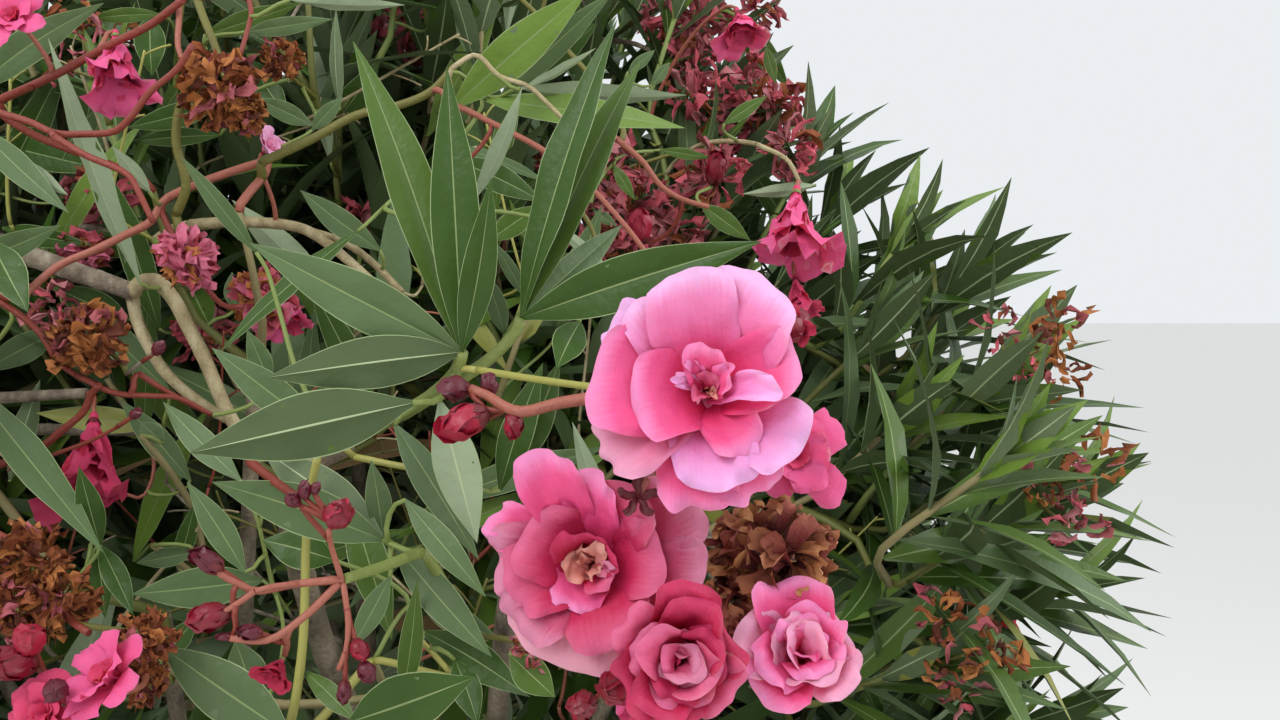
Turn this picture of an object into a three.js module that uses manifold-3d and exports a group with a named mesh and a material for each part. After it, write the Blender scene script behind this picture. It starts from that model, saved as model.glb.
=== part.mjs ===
// A double pink oleander in a plain terracotta pot, in millimetres, +Z up, standing on its flat underside.
// Six stems rise from one clump, each forks into boughs, and each bough ends where a mass of foliage begins.
import * as THREE from "three";
import { mergeVertices } from "three/addons/utils/BufferGeometryUtils.js";
import Module from "manifold-3d";

const wasm = await Module();
wasm.setup();
const { Manifold, Mesh } = wasm;

// Driving dimensions of the pot and its soil
const POT_HEIGHT = 380;
const POT_FOOT_RADIUS = 158;
const POT_TOP_RADIUS = 212;
const POT_RIM_HEIGHT = 58;
const POT_RIM_PROUD = 13;
const POT_BEVEL = 5;
const POT_WALL = 17;
const POT_FLOOR = 22;
const POT_SIDES = 32;
const SOIL_BELOW_RIM = 34;
const SOIL_MOUND = 8;

// Driving dimensions of the plant
const CROWN_CENTRE = new THREE.Vector3(0, 0, 1000);
const CROWN_RADII = new THREE.Vector3(610, 560, 520);
const CROWN_REACH = 1.05; // leaf tips stay within this share of the crown's radii
const STEM_COUNT = 5; // round the clump, with one more in the middle
const STEM_FOOT_RING = 58;
const STEM_FORK_RING = 150;
const STEM_FORK_HEIGHT = 610;
const STEM_FOOT_RADIUS = 13;
const STEM_FORK_RADIUS = 10;
const STEM_STEPS = 9;
const ROOT_FLARE = 1.5; // times the foot's radius, at soil level, gone after one step
const FLARE_HEIGHT = 24;
const FORK_SPACING = 0.09; // share of a stem's length from one of its boughs to the next
const FIRST_BOUGH_SHARE = 0.98; // of the stem's end radius, for the bough that carries it on
const SIDE_BOUGH_SHARE = 0.8; // and for the others
const BOUGH_END_RADIUS = 6;
const LIMB_SIDES = 5;
const SHOOT_RADIUS = 4.4;
const TWIG_ROOT_RADIUS = 2.1; // inside the wood that it grows from
const TWIG_RADIUS = 4.2;
const TWIG_TIP_RADIUS = 3.6;
const LEAF_LENGTH = 155;
const LEAF_WIDTH = 33;
const LEAF_THICKNESS = 2.4;
const LEAF_ROOT = 1.5; // how far a leaf starts behind its twig's middle line
const BLOSSOM_RADIUS = 33;
const FLOWER_STALK = 58; // from a shoot's tip to its flower
const HEAD_LENGTH = FLOWER_STALK + BLOSSOM_RADIUS * 0.4; // and to the flower's middle
const FLOWER_SHARE = 0.36; // of the outer shoots
const SPENT_SHARE = 0.55; // of the flowers
const BLOOM_DEPTH = 0.7; // of a large bloom, from its rim to its foot, in radii
const GAP = 0.3; // between pieces that meet
const CLEARANCE = 1.5; // between pieces that only pass each other

// The shoots that the foliage ends in: how many, and how they are spread over the crown
const SHOOT_LAYERS = [
  { count: 70, share: 0.82, vary: 0.1, lowest: -0.72, flowers: FLOWER_SHARE },
  { count: 9, share: 0.52, vary: 0.12, lowest: -0.35, flowers: 0 },
];
const LEAVES_A_WHORL = 3;
const WHORLS = [
  { back: 9, opening: 33 },
  { back: 40, opening: 54 },
  { back: 72, opening: 66 },
];
const LEAF_TRIES = [
  { share: 1, closer: 0 },
  { share: 0.86, closer: 12 },
  { share: 0.72, closer: 20 },
];
const SHORTEST_TWIG = 18;
const STRAIGHT_TIP = 82; // the last stretch of a twig, which its leaves stand on
const TWIG_TRIES = 4;
const MASS_WOOD = [0.7, 0.85, 1]; // shares of a mass's stem where its first twigs may start
const TWIG_WOOD = [0.3, 0.55]; // and of a twig, for the ones after it
const FAR_WOOD_COST = 0.35; // keeps twigs from growing out of the far ends of others
const GOLDEN_ANGLE = Math.PI * (3 - Math.sqrt(5));

// The masses of foliage sit in rings round the crown, as degrees of height and of turn
const RINGS = [
  { name: "top", height: 90, count: 1, start: 0 },
  { name: "upper", height: 44, count: 5, start: -90 },
  { name: "middle", height: 8, count: 6, start: -96 },
  { name: "lower", height: -27, count: 5, start: -54 },
];
const MASS_DEPTH = 0.7; // share of the crown's radii where a mass has its middle
const STEM_SHARE = 0.6; // of the way from a stem's fork to the crown's middle, where the way to a mass turns
const HUB_SHARE = 0.7; // of the way from there to the mass's middle, where its stem starts to branch
const BOUGH_SHARE = 0.6; // of the way to that hub, where the bough ends

// The leafy shoot at the front: two tips, and each leaf's tip seen from its own shoot tip, with its width
const FRONT_FOOT = new THREE.Vector3(90, -365, 1098);
const FRONT_TIPS = [new THREE.Vector3(160, -425, 1147), new THREE.Vector3(186, -419, 1160)];
const FRONT_LEAVES = [
  [
    { tip: [-86, -28, 48], width: 23 },
    { tip: [-51, 12, 139], width: 21 },
    { tip: [-6, -4, 126], width: 21 },
    { tip: [16, -27, 74], width: 17 },
    { tip: [-72, -51, -8], width: 23 },
    { tip: [-95, -72, -36], width: 25 },
  ],
  [
    { tip: [104, -34, 36], width: 22 },
    { tip: [43, 1, 135], width: 22 },
    { tip: [53, 21, 121], width: 20 },
    { tip: [45, 37, 47], width: 15 },
  ],
];

// The flowering stalk at the front right: its foot, its fork, and its open blooms with the way each faces
const STALK_FOOT = new THREE.Vector3(196, -355, 1040);
const STALK_FORK = new THREE.Vector3(262, -479, 1086);
const STALK_RADIUS = 3.6;
const FRONT_BLOOMS = [
  { name: "bloom_front_upper", at: [261, -571, 1143], faces: [-0.12, -0.95, 0.2], radius: 37 },
  { name: "bloom_front_left", at: [222, -554, 1081], faces: [-0.2, -0.95, 0.1], radius: 36 },
  { name: "bloom_front_lower", at: [253, -584, 1057], faces: [0.05, -0.96, 0.05], radius: 25 },
  { name: "bloom_front_right", at: [296, -549, 1050], faces: [0.25, -0.9, -0.1], radius: 27 },
];
const SPENT_BLOOM = { name: "bloom_front_spent", at: [289, -522, 1091], radius: 21 };
const FRONT_BUDS = [
  { at: [170, -496, 1137], radius: 5 },
  { at: [176, -498, 1122], radius: 9 },
  { at: [184, -495, 1140], radius: 4 },
  { at: [193, -498, 1121], radius: 5 },
];
const BUD_FORK = new THREE.Vector3(192, -496, 1132);

// Old and new flowers that the front of the crown shows behind those
const FRONT_FLOWERS = [
  [11, -318, 1285],
  [-58, -325, 1147],
  [-26, -451, 1045],
  [-65, -267, 1303],
  [-55, -329, 1074],
  [6, -224, 1165],
  [122, -445, 1035],
  [208, -19, 1253],
  [300, 188, 1380],
  [335, 140, 1427],
  [301, -19, 1265],
  [342, -172, 1212],
  [326, -335, 1152],
];
const FLOWER_TIP_SPACE = 85; // other shoot tips keep this far from one of those

// Plain space in front of the leafy shoot and the blooms, which other foliage keeps out of
const FRONT_SPACE = new THREE.Box3(new THREE.Vector3(-70, -900, 960), new THREE.Vector3(400, -452, 1330));

const up = new THREE.Vector3(0, 0, 1);
const degrees = THREE.MathUtils.degToRad;
const vector = ([x, y, z]) => new THREE.Vector3(x, y, z);

// A repeatable number from 0 to 1 for each pair of numbers.
function chance(a, b) {
  const s = Math.sin(a * 127.1 + b * 311.7) * 43758.5453;
  return s - Math.floor(s);
}

// A point of the crown from a turn and a height in radians, at a share of its radii.
function onCrown(turn, height, share) {
  const out = new THREE.Vector3(
    Math.cos(height) * Math.cos(turn),
    Math.cos(height) * Math.sin(turn),
    Math.sin(height),
  );
  return out.multiply(CROWN_RADII).multiplyScalar(share).add(CROWN_CENTRE);
}

// How far out a point lies, as a share of the crown's radii.
function shareOfCrown(point) {
  return point.clone().sub(CROWN_CENTRE).divide(CROWN_RADII).length();
}

// A closed solid from a geometry.
function solidOf(geometry) {
  const bare = geometry.clone();
  bare.deleteAttribute("normal");
  bare.deleteAttribute("uv");
  const merged = mergeVertices(bare, 1e-4);
  return new Manifold(
    new Mesh({
      numProp: 3,
      vertProperties: new Float32Array(merged.attributes.position.array),
      triVerts: new Uint32Array(merged.index.array),
    }),
  );
}

// The geometry of a solid.
function geometryOf(solid) {
  const mesh = solid.getMesh();
  const geometry = new THREE.BufferGeometry();
  geometry.setAttribute("position", new THREE.BufferAttribute(mesh.vertProperties, 3));
  geometry.setIndex(new THREE.BufferAttribute(mesh.triVerts, 1));
  geometry.computeVertexNormals();
  return geometry;
}

// Solids joined two and two, which keeps each join small.
function joined(solids) {
  let level = solids;
  while (level.length > 1) {
    const next = [];
    for (let i = 0; i < level.length; i += 2) {
      next.push(i + 1 < level.length ? level[i].add(level[i + 1]) : level[i]);
    }
    level = next;
  }
  return level[0];
}

// The largest body of a solid: loose scraps left by a cut are dropped.
function largestBody(solid) {
  return solid.decompose().sort((a, b) => b.volume() - a.volume())[0];
}

// The point and the direction at a share of a line's length.
function alongLine(points, share) {
  const lengths = points.slice(1).map((p, i) => p.distanceTo(points[i]));
  let left = share * lengths.reduce((sum, l) => sum + l, 0);
  let i = 0;
  while (i < lengths.length - 1 && left > lengths[i]) {
    left -= lengths[i];
    i += 1;
  }
  const way = points[i + 1].clone().sub(points[i]).normalize();
  return { at: points[i].clone().addScaledVector(way, left), way };
}

// A tapering limb along a line of points: a ring of vertices at each, and a flat cap at each end.
function limbGeometry(points, radiusAt, sides) {
  const positions = [];
  const indices = [];
  const last = points.length - 1;
  const across = new THREE.Vector3(1, 0, 0);
  for (let ring = 0; ring <= last; ring++) {
    const before = points[Math.max(ring - 1, 0)];
    const after = points[Math.min(ring + 1, last)];
    const along = after.clone().sub(before).normalize();
    across.addScaledVector(along, -across.dot(along));
    if (across.length() < 0.1) across.set(0, 1, 0).addScaledVector(along, -along.y);
    across.normalize();
    const third = along.clone().cross(across);
    const radius = radiusAt(ring / last);
    for (let side = 0; side < sides; side++) {
      const turn = (2 * Math.PI * side) / sides;
      const p = points[ring].clone();
      p.addScaledVector(across, Math.cos(turn) * radius).addScaledVector(third, Math.sin(turn) * radius);
      positions.push(p.x, p.y, p.z);
    }
  }
  for (let ring = 0; ring < last; ring++) {
    for (let side = 0; side < sides; side++) {
      const a = ring * sides + side;
      const b = ring * sides + ((side + 1) % sides);
      indices.push(a, b, b + sides, a, b + sides, a + sides);
    }
  }
  const end = last * sides;
  for (let side = 1; side < sides - 1; side++) {
    indices.push(0, side + 1, side, end, end + side, end + side + 1);
  }
  const geometry = new THREE.BufferGeometry();
  geometry.setAttribute("position", new THREE.Float32BufferAttribute(positions, 3));
  geometry.setIndex(indices);
  return geometry;
}

// A limb that tapers evenly from one radius to another.
function limbSolid(points, startRadius, endRadius, sides) {
  return solidOf(limbGeometry(points, (t) => THREE.MathUtils.lerp(startRadius, endRadius, t), sides));
}

// A side branch: its first ring is narrow and stays inside the wood that it grows from.
function branchSolid(points, rootRadius, startRadius, endRadius, sides) {
  const radiusAt = (t) => (t === 0 ? rootRadius : THREE.MathUtils.lerp(startRadius, endRadius, t));
  return solidOf(limbGeometry(points, radiusAt, sides));
}

// A line carried on past both of its ends.
function longer(points, by) {
  const beyond = (end, next) => end.clone().addScaledVector(end.clone().sub(next).normalize(), by);
  return [beyond(points[0], points[1]), ...points.slice(1, -1), beyond(points.at(-1), points.at(-2))];
}

// A limb's own solid and slightly fatter ones: one cuts what meets it, one keeps off what passes it.
function limb(points, radiusAt, sides) {
  const fatter = (by) => solidOf(limbGeometry(longer(points, by), (t) => radiusAt(t) + by, sides));
  return {
    points,
    solid: solidOf(limbGeometry(points, radiusAt, sides)),
    cutter: fatter(GAP + 0.1),
    keepOff: fatter(CLEARANCE),
  };
}

// A leaf of eight faces: widest in the middle, thin, its upper side towards "facing".
function leafSolid(root, tip, facing, width) {
  const along = tip.clone().sub(root);
  const length = along.length();
  along.normalize();
  const side = facing.clone().cross(along);
  if (side.length() < 0.05) side.copy(along).cross(new THREE.Vector3(0.3, 0.9, 0.2));
  side.normalize();
  const normal = along.clone().cross(side);
  const frame = new THREE.Matrix4().makeBasis(along, side, normal);
  frame.setPosition(root.clone().add(tip).multiplyScalar(0.5));
  const blade = new THREE.OctahedronGeometry(1).scale(length / 2, width / 2, LEAF_THICKNESS / 2);
  return solidOf(blade.applyMatrix4(frame));
}

// A blossom of twenty faces: five lobes round a shallow cup.
function blossomSolid(middle, facing, radius) {
  const lobes = 5;
  const turnTo = new THREE.Quaternion().setFromUnitVectors(up, facing.clone().normalize());
  const points = [new THREE.Vector3(0, 0, radius * 0.12), new THREE.Vector3(0, 0, -radius * 0.75)];
  for (let i = 0; i < 2 * lobes; i++) {
    const reach = radius * (i % 2 ? 0.68 : 1);
    const turn = (Math.PI * i) / lobes;
    points.push(new THREE.Vector3(Math.cos(turn) * reach, Math.sin(turn) * reach, i % 2 ? 0 : radius * 0.22));
  }
  const positions = points.flatMap((p) => p.applyQuaternion(turnTo).add(middle).toArray());
  const indices = [];
  for (let i = 0; i < 2 * lobes; i++) {
    const a = 2 + i;
    const b = 2 + ((i + 1) % (2 * lobes));
    indices.push(0, a, b, 1, b, a);
  }
  const geometry = new THREE.BufferGeometry();
  geometry.setAttribute("position", new THREE.Float32BufferAttribute(positions, 3));
  geometry.setIndex(indices);
  return solidOf(geometry);
}

// A crumpled spent flower of twenty faces.
function spentSolid(middle, radius, seed) {
  const geometry = mergeVertices(bareIcosahedron(radius), 1e-4);
  const position = geometry.attributes.position;
  for (let i = 0; i < position.count; i++) {
    const reach = 0.78 + 0.42 * chance(seed, i + 0.5);
    position.setXYZ(i, position.getX(i) * reach, position.getY(i) * reach, position.getZ(i) * reach);
  }
  return solidOf(geometry.translate(middle.x, middle.y, middle.z));
}

function bareIcosahedron(radius) {
  const geometry = new THREE.IcosahedronGeometry(radius, 0);
  geometry.deleteAttribute("normal");
  geometry.deleteAttribute("uv");
  return geometry;
}

// An open double bloom: five broad outer lobes with a rolled edge, a ring of inner petals and a raised heart.
function bloomSolid(middle, facing, radius) {
  const lobes = 5;
  const around = 15;
  const profile = [
    // share of the radius, height as a share of the radius, and how deep the notches between lobes are
    [0.2, -0.56, 0],
    [0.68, -0.24, 0.1],
    [1.0, 0.0, 0.2],
    [0.96, 0.1, 0.2],
    [0.56, -0.04, 0.06],
    [0.52, 0.2, 0.16],
    [0.3, 0.04, 0.1],
  ];
  const turnTo = new THREE.Quaternion().setFromUnitVectors(up, facing.clone().normalize());
  const place = (x, y, z) => new THREE.Vector3(x, y, z).applyQuaternion(turnTo).add(middle);
  const positions = [];
  const indices = [];
  profile.forEach(([share, height, notch], row) => {
    const phase = row > 4 ? Math.PI / lobes : 0;
    for (let i = 0; i < around; i++) {
      const turn = (2 * Math.PI * i) / around;
      const lobe = Math.abs(Math.cos((lobes * (turn + phase)) / 2));
      const reach = radius * share * (1 - notch * (1 - lobe));
      const ruffle = row === 2 || row === 3 ? radius * 0.05 * (i % 3) : 0;
      const p = place(Math.cos(turn) * reach, Math.sin(turn) * reach, radius * height + ruffle);
      positions.push(p.x, p.y, p.z);
    }
  });
  for (let row = 0; row < profile.length - 1; row++) {
    for (let i = 0; i < around; i++) {
      const a = row * around + i;
      const b = row * around + ((i + 1) % around);
      indices.push(a, b, b + around, a, b + around, a + around);
    }
  }
  const foot = place(0, 0, -radius * BLOOM_DEPTH);
  const heart = place(0, 0, radius * 0.2);
  positions.push(foot.x, foot.y, foot.z, heart.x, heart.y, heart.z);
  const lastRow = (profile.length - 1) * around;
  const footIndex = profile.length * around;
  for (let i = 0; i < around; i++) {
    const next = (i + 1) % around;
    indices.push(footIndex, next, i, footIndex + 1, lastRow + i, lastRow + next);
  }
  const geometry = new THREE.BufferGeometry();
  geometry.setAttribute("position", new THREE.Float32BufferAttribute(positions, 3));
  geometry.setIndex(indices);
  return solidOf(geometry);
}

// The pot: a tapered wall with a proud band round its rim and a flat floor.
function potSolid() {
  const wallSlope = (POT_TOP_RADIUS - POT_FOOT_RADIUS) / POT_HEIGHT;
  const bandFoot = POT_HEIGHT - POT_RIM_HEIGHT;
  const outerAt = (z) => POT_FOOT_RADIUS + wallSlope * z;
  const outline = [
    [0, 0],
    [POT_FOOT_RADIUS, 0],
    [outerAt(bandFoot), bandFoot],
    [outerAt(bandFoot) + POT_RIM_PROUD, bandFoot + POT_BEVEL],
    [outerAt(POT_HEIGHT) + POT_RIM_PROUD, POT_HEIGHT - POT_BEVEL],
    [outerAt(POT_HEIGHT) + POT_RIM_PROUD - POT_BEVEL, POT_HEIGHT],
    [outerAt(POT_HEIGHT) - POT_WALL, POT_HEIGHT],
    [outerAt(POT_FLOOR) - POT_WALL, POT_FLOOR],
    [0, POT_FLOOR],
  ];
  const lathe = new THREE.LatheGeometry(outline.map(([r, z]) => new THREE.Vector2(r, z)), POT_SIDES);
  return solidOf(lathe.rotateX(Math.PI / 2));
}

// The soil fills the pot to below its rim, a little higher in the middle.
function soilSolid() {
  const wallSlope = (POT_TOP_RADIUS - POT_FOOT_RADIUS) / POT_HEIGHT;
  const insideAt = (z) => (POT_FOOT_RADIUS + wallSlope * z - POT_WALL) * Math.cos(Math.PI / POT_SIDES) - GAP;
  const level = POT_HEIGHT - SOIL_BELOW_RIM;
  const outline = [
    [0, POT_FLOOR + GAP],
    [insideAt(POT_FLOOR), POT_FLOOR + GAP],
    [insideAt(level), level],
    [STEM_FOOT_RING + 50, level + SOIL_MOUND],
    [0, level + SOIL_MOUND],
  ];
  const lathe = new THREE.LatheGeometry(outline.map(([r, z]) => new THREE.Vector2(r, z)), POT_SIDES);
  return solidOf(lathe.rotateX(Math.PI / 2));
}

// The stems, from a flat cut on the soil to the fork. The last one stands in the middle.
function makeStems() {
  const ground = POT_HEIGHT - SOIL_BELOW_RIM + SOIL_MOUND + GAP;
  const stems = [];
  for (let i = 0; i <= STEM_COUNT; i++) {
    const middleOne = i === STEM_COUNT;
    const turn = degrees(-54 + (360 / STEM_COUNT) * i + 16 * (chance(i, 1) - 0.5));
    const footRing = middleOne ? 8 : STEM_FOOT_RING * (0.85 + 0.3 * chance(i, 2));
    const forkRing = middleOne ? 20 : STEM_FORK_RING * (0.9 + 0.25 * chance(i, 3));
    const forkHeight = STEM_FORK_HEIGHT + (middleOne ? 110 : 70 * (chance(i, 4) - 0.5));
    const out = new THREE.Vector3(Math.cos(turn), Math.sin(turn), 0);
    const foot = out.clone().multiplyScalar(footRing).setZ(ground);
    const fork = out.clone().multiplyScalar(forkRing).setZ(forkHeight);
    const sway = new THREE.Vector3(-out.y, out.x, 0).multiplyScalar(24 * (chance(i, 5) - 0.5));
    const curve = new THREE.CatmullRomCurve3([
      foot,
      foot.clone().addScaledVector(up, FLARE_HEIGHT),
      foot.clone().lerp(fork, 0.4).add(sway).addScaledVector(up, FLARE_HEIGHT),
      fork,
    ]);
    const radiusAt = (t) =>
      THREE.MathUtils.lerp(STEM_FOOT_RADIUS, STEM_FORK_RADIUS, t) *
      (1 + (ROOT_FLARE - 1) * Math.max(0, 1 - t * STEM_STEPS) ** 2);
    const made = limb(curve.getPoints(STEM_STEPS), radiusAt, LIMB_SIDES + 2);
    made.solid = made.solid.trimByPlane([0, 0, 1], ground);
    stems.push({ name: `stem_${i + 1}`, turn, fork, ...made });
  }
  return stems;
}

// The masses' middles, each with the stem that feeds it.
function makeMasses(stems) {
  const masses = [];
  for (const ring of RINGS) {
    for (let i = 0; i < ring.count; i++) {
      const turn = degrees(ring.start + (360 / ring.count) * i);
      const middle = onCrown(turn, degrees(ring.height), MASS_DEPTH);
      const stem =
        ring.count === 1
          ? stems[STEM_COUNT]
          : stems.slice(0, STEM_COUNT).reduce((best, s) =>
              Math.cos(s.turn - turn) > Math.cos(best.turn - turn) ? s : best,
            );
      const label = ring.count === 1 ? ring.name : `${ring.name}_${i + 1}`;
      masses.push({ label, middle, stem, tips: [] });
    }
  }
  return masses;
}

// A line of straight steps, at least three, that sets out one way and arrives another.
function bentLine(from, setOut, to, arrive, steps) {
  const span = from.distanceTo(to);
  const curve = new THREE.CubicBezierCurve3(
    from,
    from.clone().addScaledVector(setOut, span * 0.33),
    to.clone().addScaledVector(arrive, -span * 0.33),
    to,
  );
  const points = [from, from.clone().addScaledVector(setOut, span * 0.1)];
  for (let i = 1; i < steps - 2; i++) points.push(curve.getPoint(0.1 + (0.8 * i) / (steps - 2)));
  points.push(to.clone().addScaledVector(arrive, -span * 0.1), to);
  return points;
}

// The boughs: the first of a stem carries it on, the others leave it lower down and are cut to its side.
function makeBoughs(stems, feeds) {
  const boughs = [];
  for (const stem of stems) {
    const own = feeds.filter((f) => f.stem === stem).sort((a, b) => b.end.z - a.end.z);
    own.forEach((feed, order) => {
      const fork = alongLine(stem.points, 1 - FORK_SPACING * order);
      const from = fork.at.addScaledVector(fork.way, order === 0 ? GAP : 0);
      const setOut = order === 0 ? fork.way : fork.way.clone().lerp(feed.aim, 0.8).normalize();
      const startRadius = STEM_FORK_RADIUS * (order === 0 ? FIRST_BOUGH_SHARE : SIDE_BOUGH_SHARE);
      const radiusAt = (t) => THREE.MathUtils.lerp(startRadius, BOUGH_END_RADIUS, t);
      const made = limb(bentLine(from, setOut, feed.end, feed.aim, 6), radiusAt, LIMB_SIDES);
      for (const other of [...stems, ...boughs]) {
        if (order === 0 && other === stem) continue;
        made.solid = largestBody(made.solid.subtract(other.cutter));
      }
      boughs.push({ name: `bough_${feed.label}`, ...made });
    });
  }
  return boughs;
}

// Even shoot tips over the crown, with the flowering tips of the front put in first.
function shootTips() {
  const tips = FRONT_FLOWERS.map((flower, i) => {
    const at = vector(flower);
    return { at: at.addScaledVector(tipWay(at), -HEAD_LENGTH), flower: true, seed: 900 + i };
  });
  for (const layer of SHOOT_LAYERS) {
    for (let k = 0; k < layer.count; k++) {
      const height = Math.asin(1 - (2 * (k + 0.5)) / layer.count);
      if (Math.sin(height) < layer.lowest) continue;
      const share = layer.share + layer.vary * (chance(k, layer.count) - 0.5);
      const at = onCrown(k * GOLDEN_ANGLE, height, share);
      if (FRONT_SPACE.containsPoint(at)) continue;
      if (tips.some((t) => t.at.distanceTo(at) < FLOWER_TIP_SPACE)) continue;
      const flower = chance(k, 77) < layer.flowers;
      tips.push({ at, flower, seed: k + layer.count });
    }
  }
  return tips;
}

// Which way a shoot points at its tip: outwards from the crown, and up.
function tipWay(at) {
  const out = at.clone().sub(CROWN_CENTRE).divide(CROWN_RADII).divide(CROWN_RADII).normalize();
  return out.multiplyScalar(0.8).addScaledVector(up, 0.5).normalize();
}

// True where every point lies in the mass's own space and inside the crown.
function inSpace(points, mass, masses) {
  return points.every((p) => {
    if (shareOfCrown(p) > CROWN_REACH || FRONT_SPACE.containsPoint(p)) return false;
    return masses.every((other) => {
      if (other === mass) return true;
      const between = other.middle.clone().sub(mass.middle);
      const edge = between.length() / 2 - CLEARANCE;
      return p.clone().sub(mass.middle).dot(between.normalize()) < edge;
    });
  });
}

const cornersOf = (solid) => {
  const mesh = solid.getMesh();
  const corners = [];
  for (let i = 0; i < mesh.numVert; i++) {
    corners.push(new THREE.Vector3().fromArray(mesh.vertProperties, i * mesh.numProp));
  }
  return corners;
};

function boxesMeet(a, b) {
  return [0, 1, 2].every((i) => a.min[i] < b.max[i] && b.min[i] < a.max[i]);
}

// True where a solid touches any of the pieces that it has to keep off.
function touches(solid, obstacles) {
  const box = solid.boundingBox();
  return obstacles.some((o) => boxesMeet(box, o.box) && !solid.intersect(o.solid).isEmpty());
}

const asObstacle = (solid) => ({ solid, box: solid.boundingBox() });

// The leaves of one shoot tip, in whorls of three, the lower ones spread wider.
function whorlLeaves(tip, way, fits) {
  const leaves = [];
  const across = new THREE.Vector3(way.z, way.x, way.y).cross(way).normalize();
  WHORLS.forEach(({ back, opening }, whorl) => {
    const node = tip.at.clone().addScaledVector(way, -back);
    for (let i = 0; i < LEAVES_A_WHORL; i++) {
      const turn = (2 * Math.PI * (i + whorl / 2)) / LEAVES_A_WHORL + 6 * chance(tip.seed, 3);
      const out = across.clone().applyAxisAngle(way, turn);
      const length = LEAF_LENGTH * (0.9 + 0.2 * chance(tip.seed, i + 10 * whorl));
      for (const { share, closer } of LEAF_TRIES) {
        const angle = degrees(opening - closer);
        const along = way.clone().multiplyScalar(Math.cos(angle)).addScaledVector(out, Math.sin(angle));
        const root = node.clone().addScaledVector(along, -LEAF_ROOT);
        const leafTip = root.clone().addScaledVector(along, length * share);
        const leaf = leafSolid(root, leafTip, way, LEAF_WIDTH);
        if (fits(leaf)) {
          leaves.push(leaf);
          break;
        }
      }
    }
  });
  return leaves;
}

// The flower of one tip, open or spent, on the twig carried on past its leaves.
function flowerHead(tip, way) {
  const top = tip.at.clone().addScaledVector(way, FLOWER_STALK);
  const foot = tip.at.clone().addScaledVector(way, -LEAF_ROOT);
  const spent = chance(tip.seed, 5) < SPENT_SHARE;
  const middle = tip.at.clone().addScaledVector(way, HEAD_LENGTH);
  return joined([
    limbSolid([foot, top], TWIG_TIP_RADIUS * 0.45, TWIG_TIP_RADIUS * 0.45, 3),
    spent ? spentSolid(middle, BLOSSOM_RADIUS * 0.75, tip.seed) : blossomSolid(middle, way, BLOSSOM_RADIUS),
  ]);
}

// The stem of a mass: 0.3 mm clear of its bough's tip, and on to the hub where it starts to branch.
function massStem(mass) {
  const { end, aim, hub } = mass.feed;
  const start = end.clone().addScaledVector(aim, GAP);
  const points = bentLine(start, aim, hub, hub.clone().sub(start).normalize(), 3);
  const radiusAt = (t) => THREE.MathUtils.lerp(BOUGH_END_RADIUS * 0.95, SHOOT_RADIUS, t);
  return limb(points, radiusAt, LIMB_SIDES);
}

// A twig from a place on the wood to a shoot tip, straight over its last stretch.
function twigLine(from, tip, way) {
  const span = tip.at.distanceTo(from.at);
  const neck = tip.at.clone().addScaledVector(way, -STRAIGHT_TIP);
  const knee = from.at.clone().lerp(neck, 0.45).addScaledVector(from.way, span * 0.1);
  return neck.distanceTo(from.at) < STRAIGHT_TIP ? [from.at, neck, tip.at] : [from.at, knee, neck, tip.at];
}

// One mass: twigs that each grow to a shoot tip from the nearest wood of the mass, and their leaves.
function growMass(mass, masses, obstacles) {
  const { points, solid } = mass.stemIn;
  const { hub } = mass.feed;
  const wood = MASS_WOOD.map((share) => ({ ...alongLine(points, share), behind: 0 }));
  const pieces = [solid];
  const leaves = [];
  const fits = (piece) =>
    inSpace(cornersOf(piece), mass, masses) && !touches(piece, obstacles) && !touches(piece, leaves);
  const tips = mass.tips.sort((a, b) => a.at.distanceTo(hub) - b.at.distanceTo(hub));
  for (const tip of tips) {
    const way = tipWay(tip.at);
    const neck = tip.at.clone().addScaledVector(way, -STRAIGHT_TIP);
    const reach = (w) => w.at.distanceTo(neck) + FAR_WOOD_COST * w.behind;
    const near = wood.filter((w) => w.at.distanceTo(neck) > SHORTEST_TWIG);
    for (const from of near.sort((a, b) => reach(a) - reach(b)).slice(0, TWIG_TRIES)) {
      const line = twigLine(from, tip, way);
      const twig = branchSolid(line, TWIG_ROOT_RADIUS, TWIG_RADIUS, TWIG_TIP_RADIUS, 3);
      if (!fits(twig)) continue;
      pieces.push(twig);
      const length = tip.at.distanceTo(from.at);
      for (const share of TWIG_WOOD) {
        wood.push({ ...alongLine(line, share), behind: from.behind + length * share });
      }
      const head = flowerHead(tip, way);
      if (tip.flower && fits(head)) leaves.push(asObstacle(head));
      leaves.push(...whorlLeaves(tip, way, fits).map(asObstacle));
      break;
    }
  }
  return largestBody(joined([...pieces, ...leaves.map((l) => l.solid)]));
}

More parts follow.
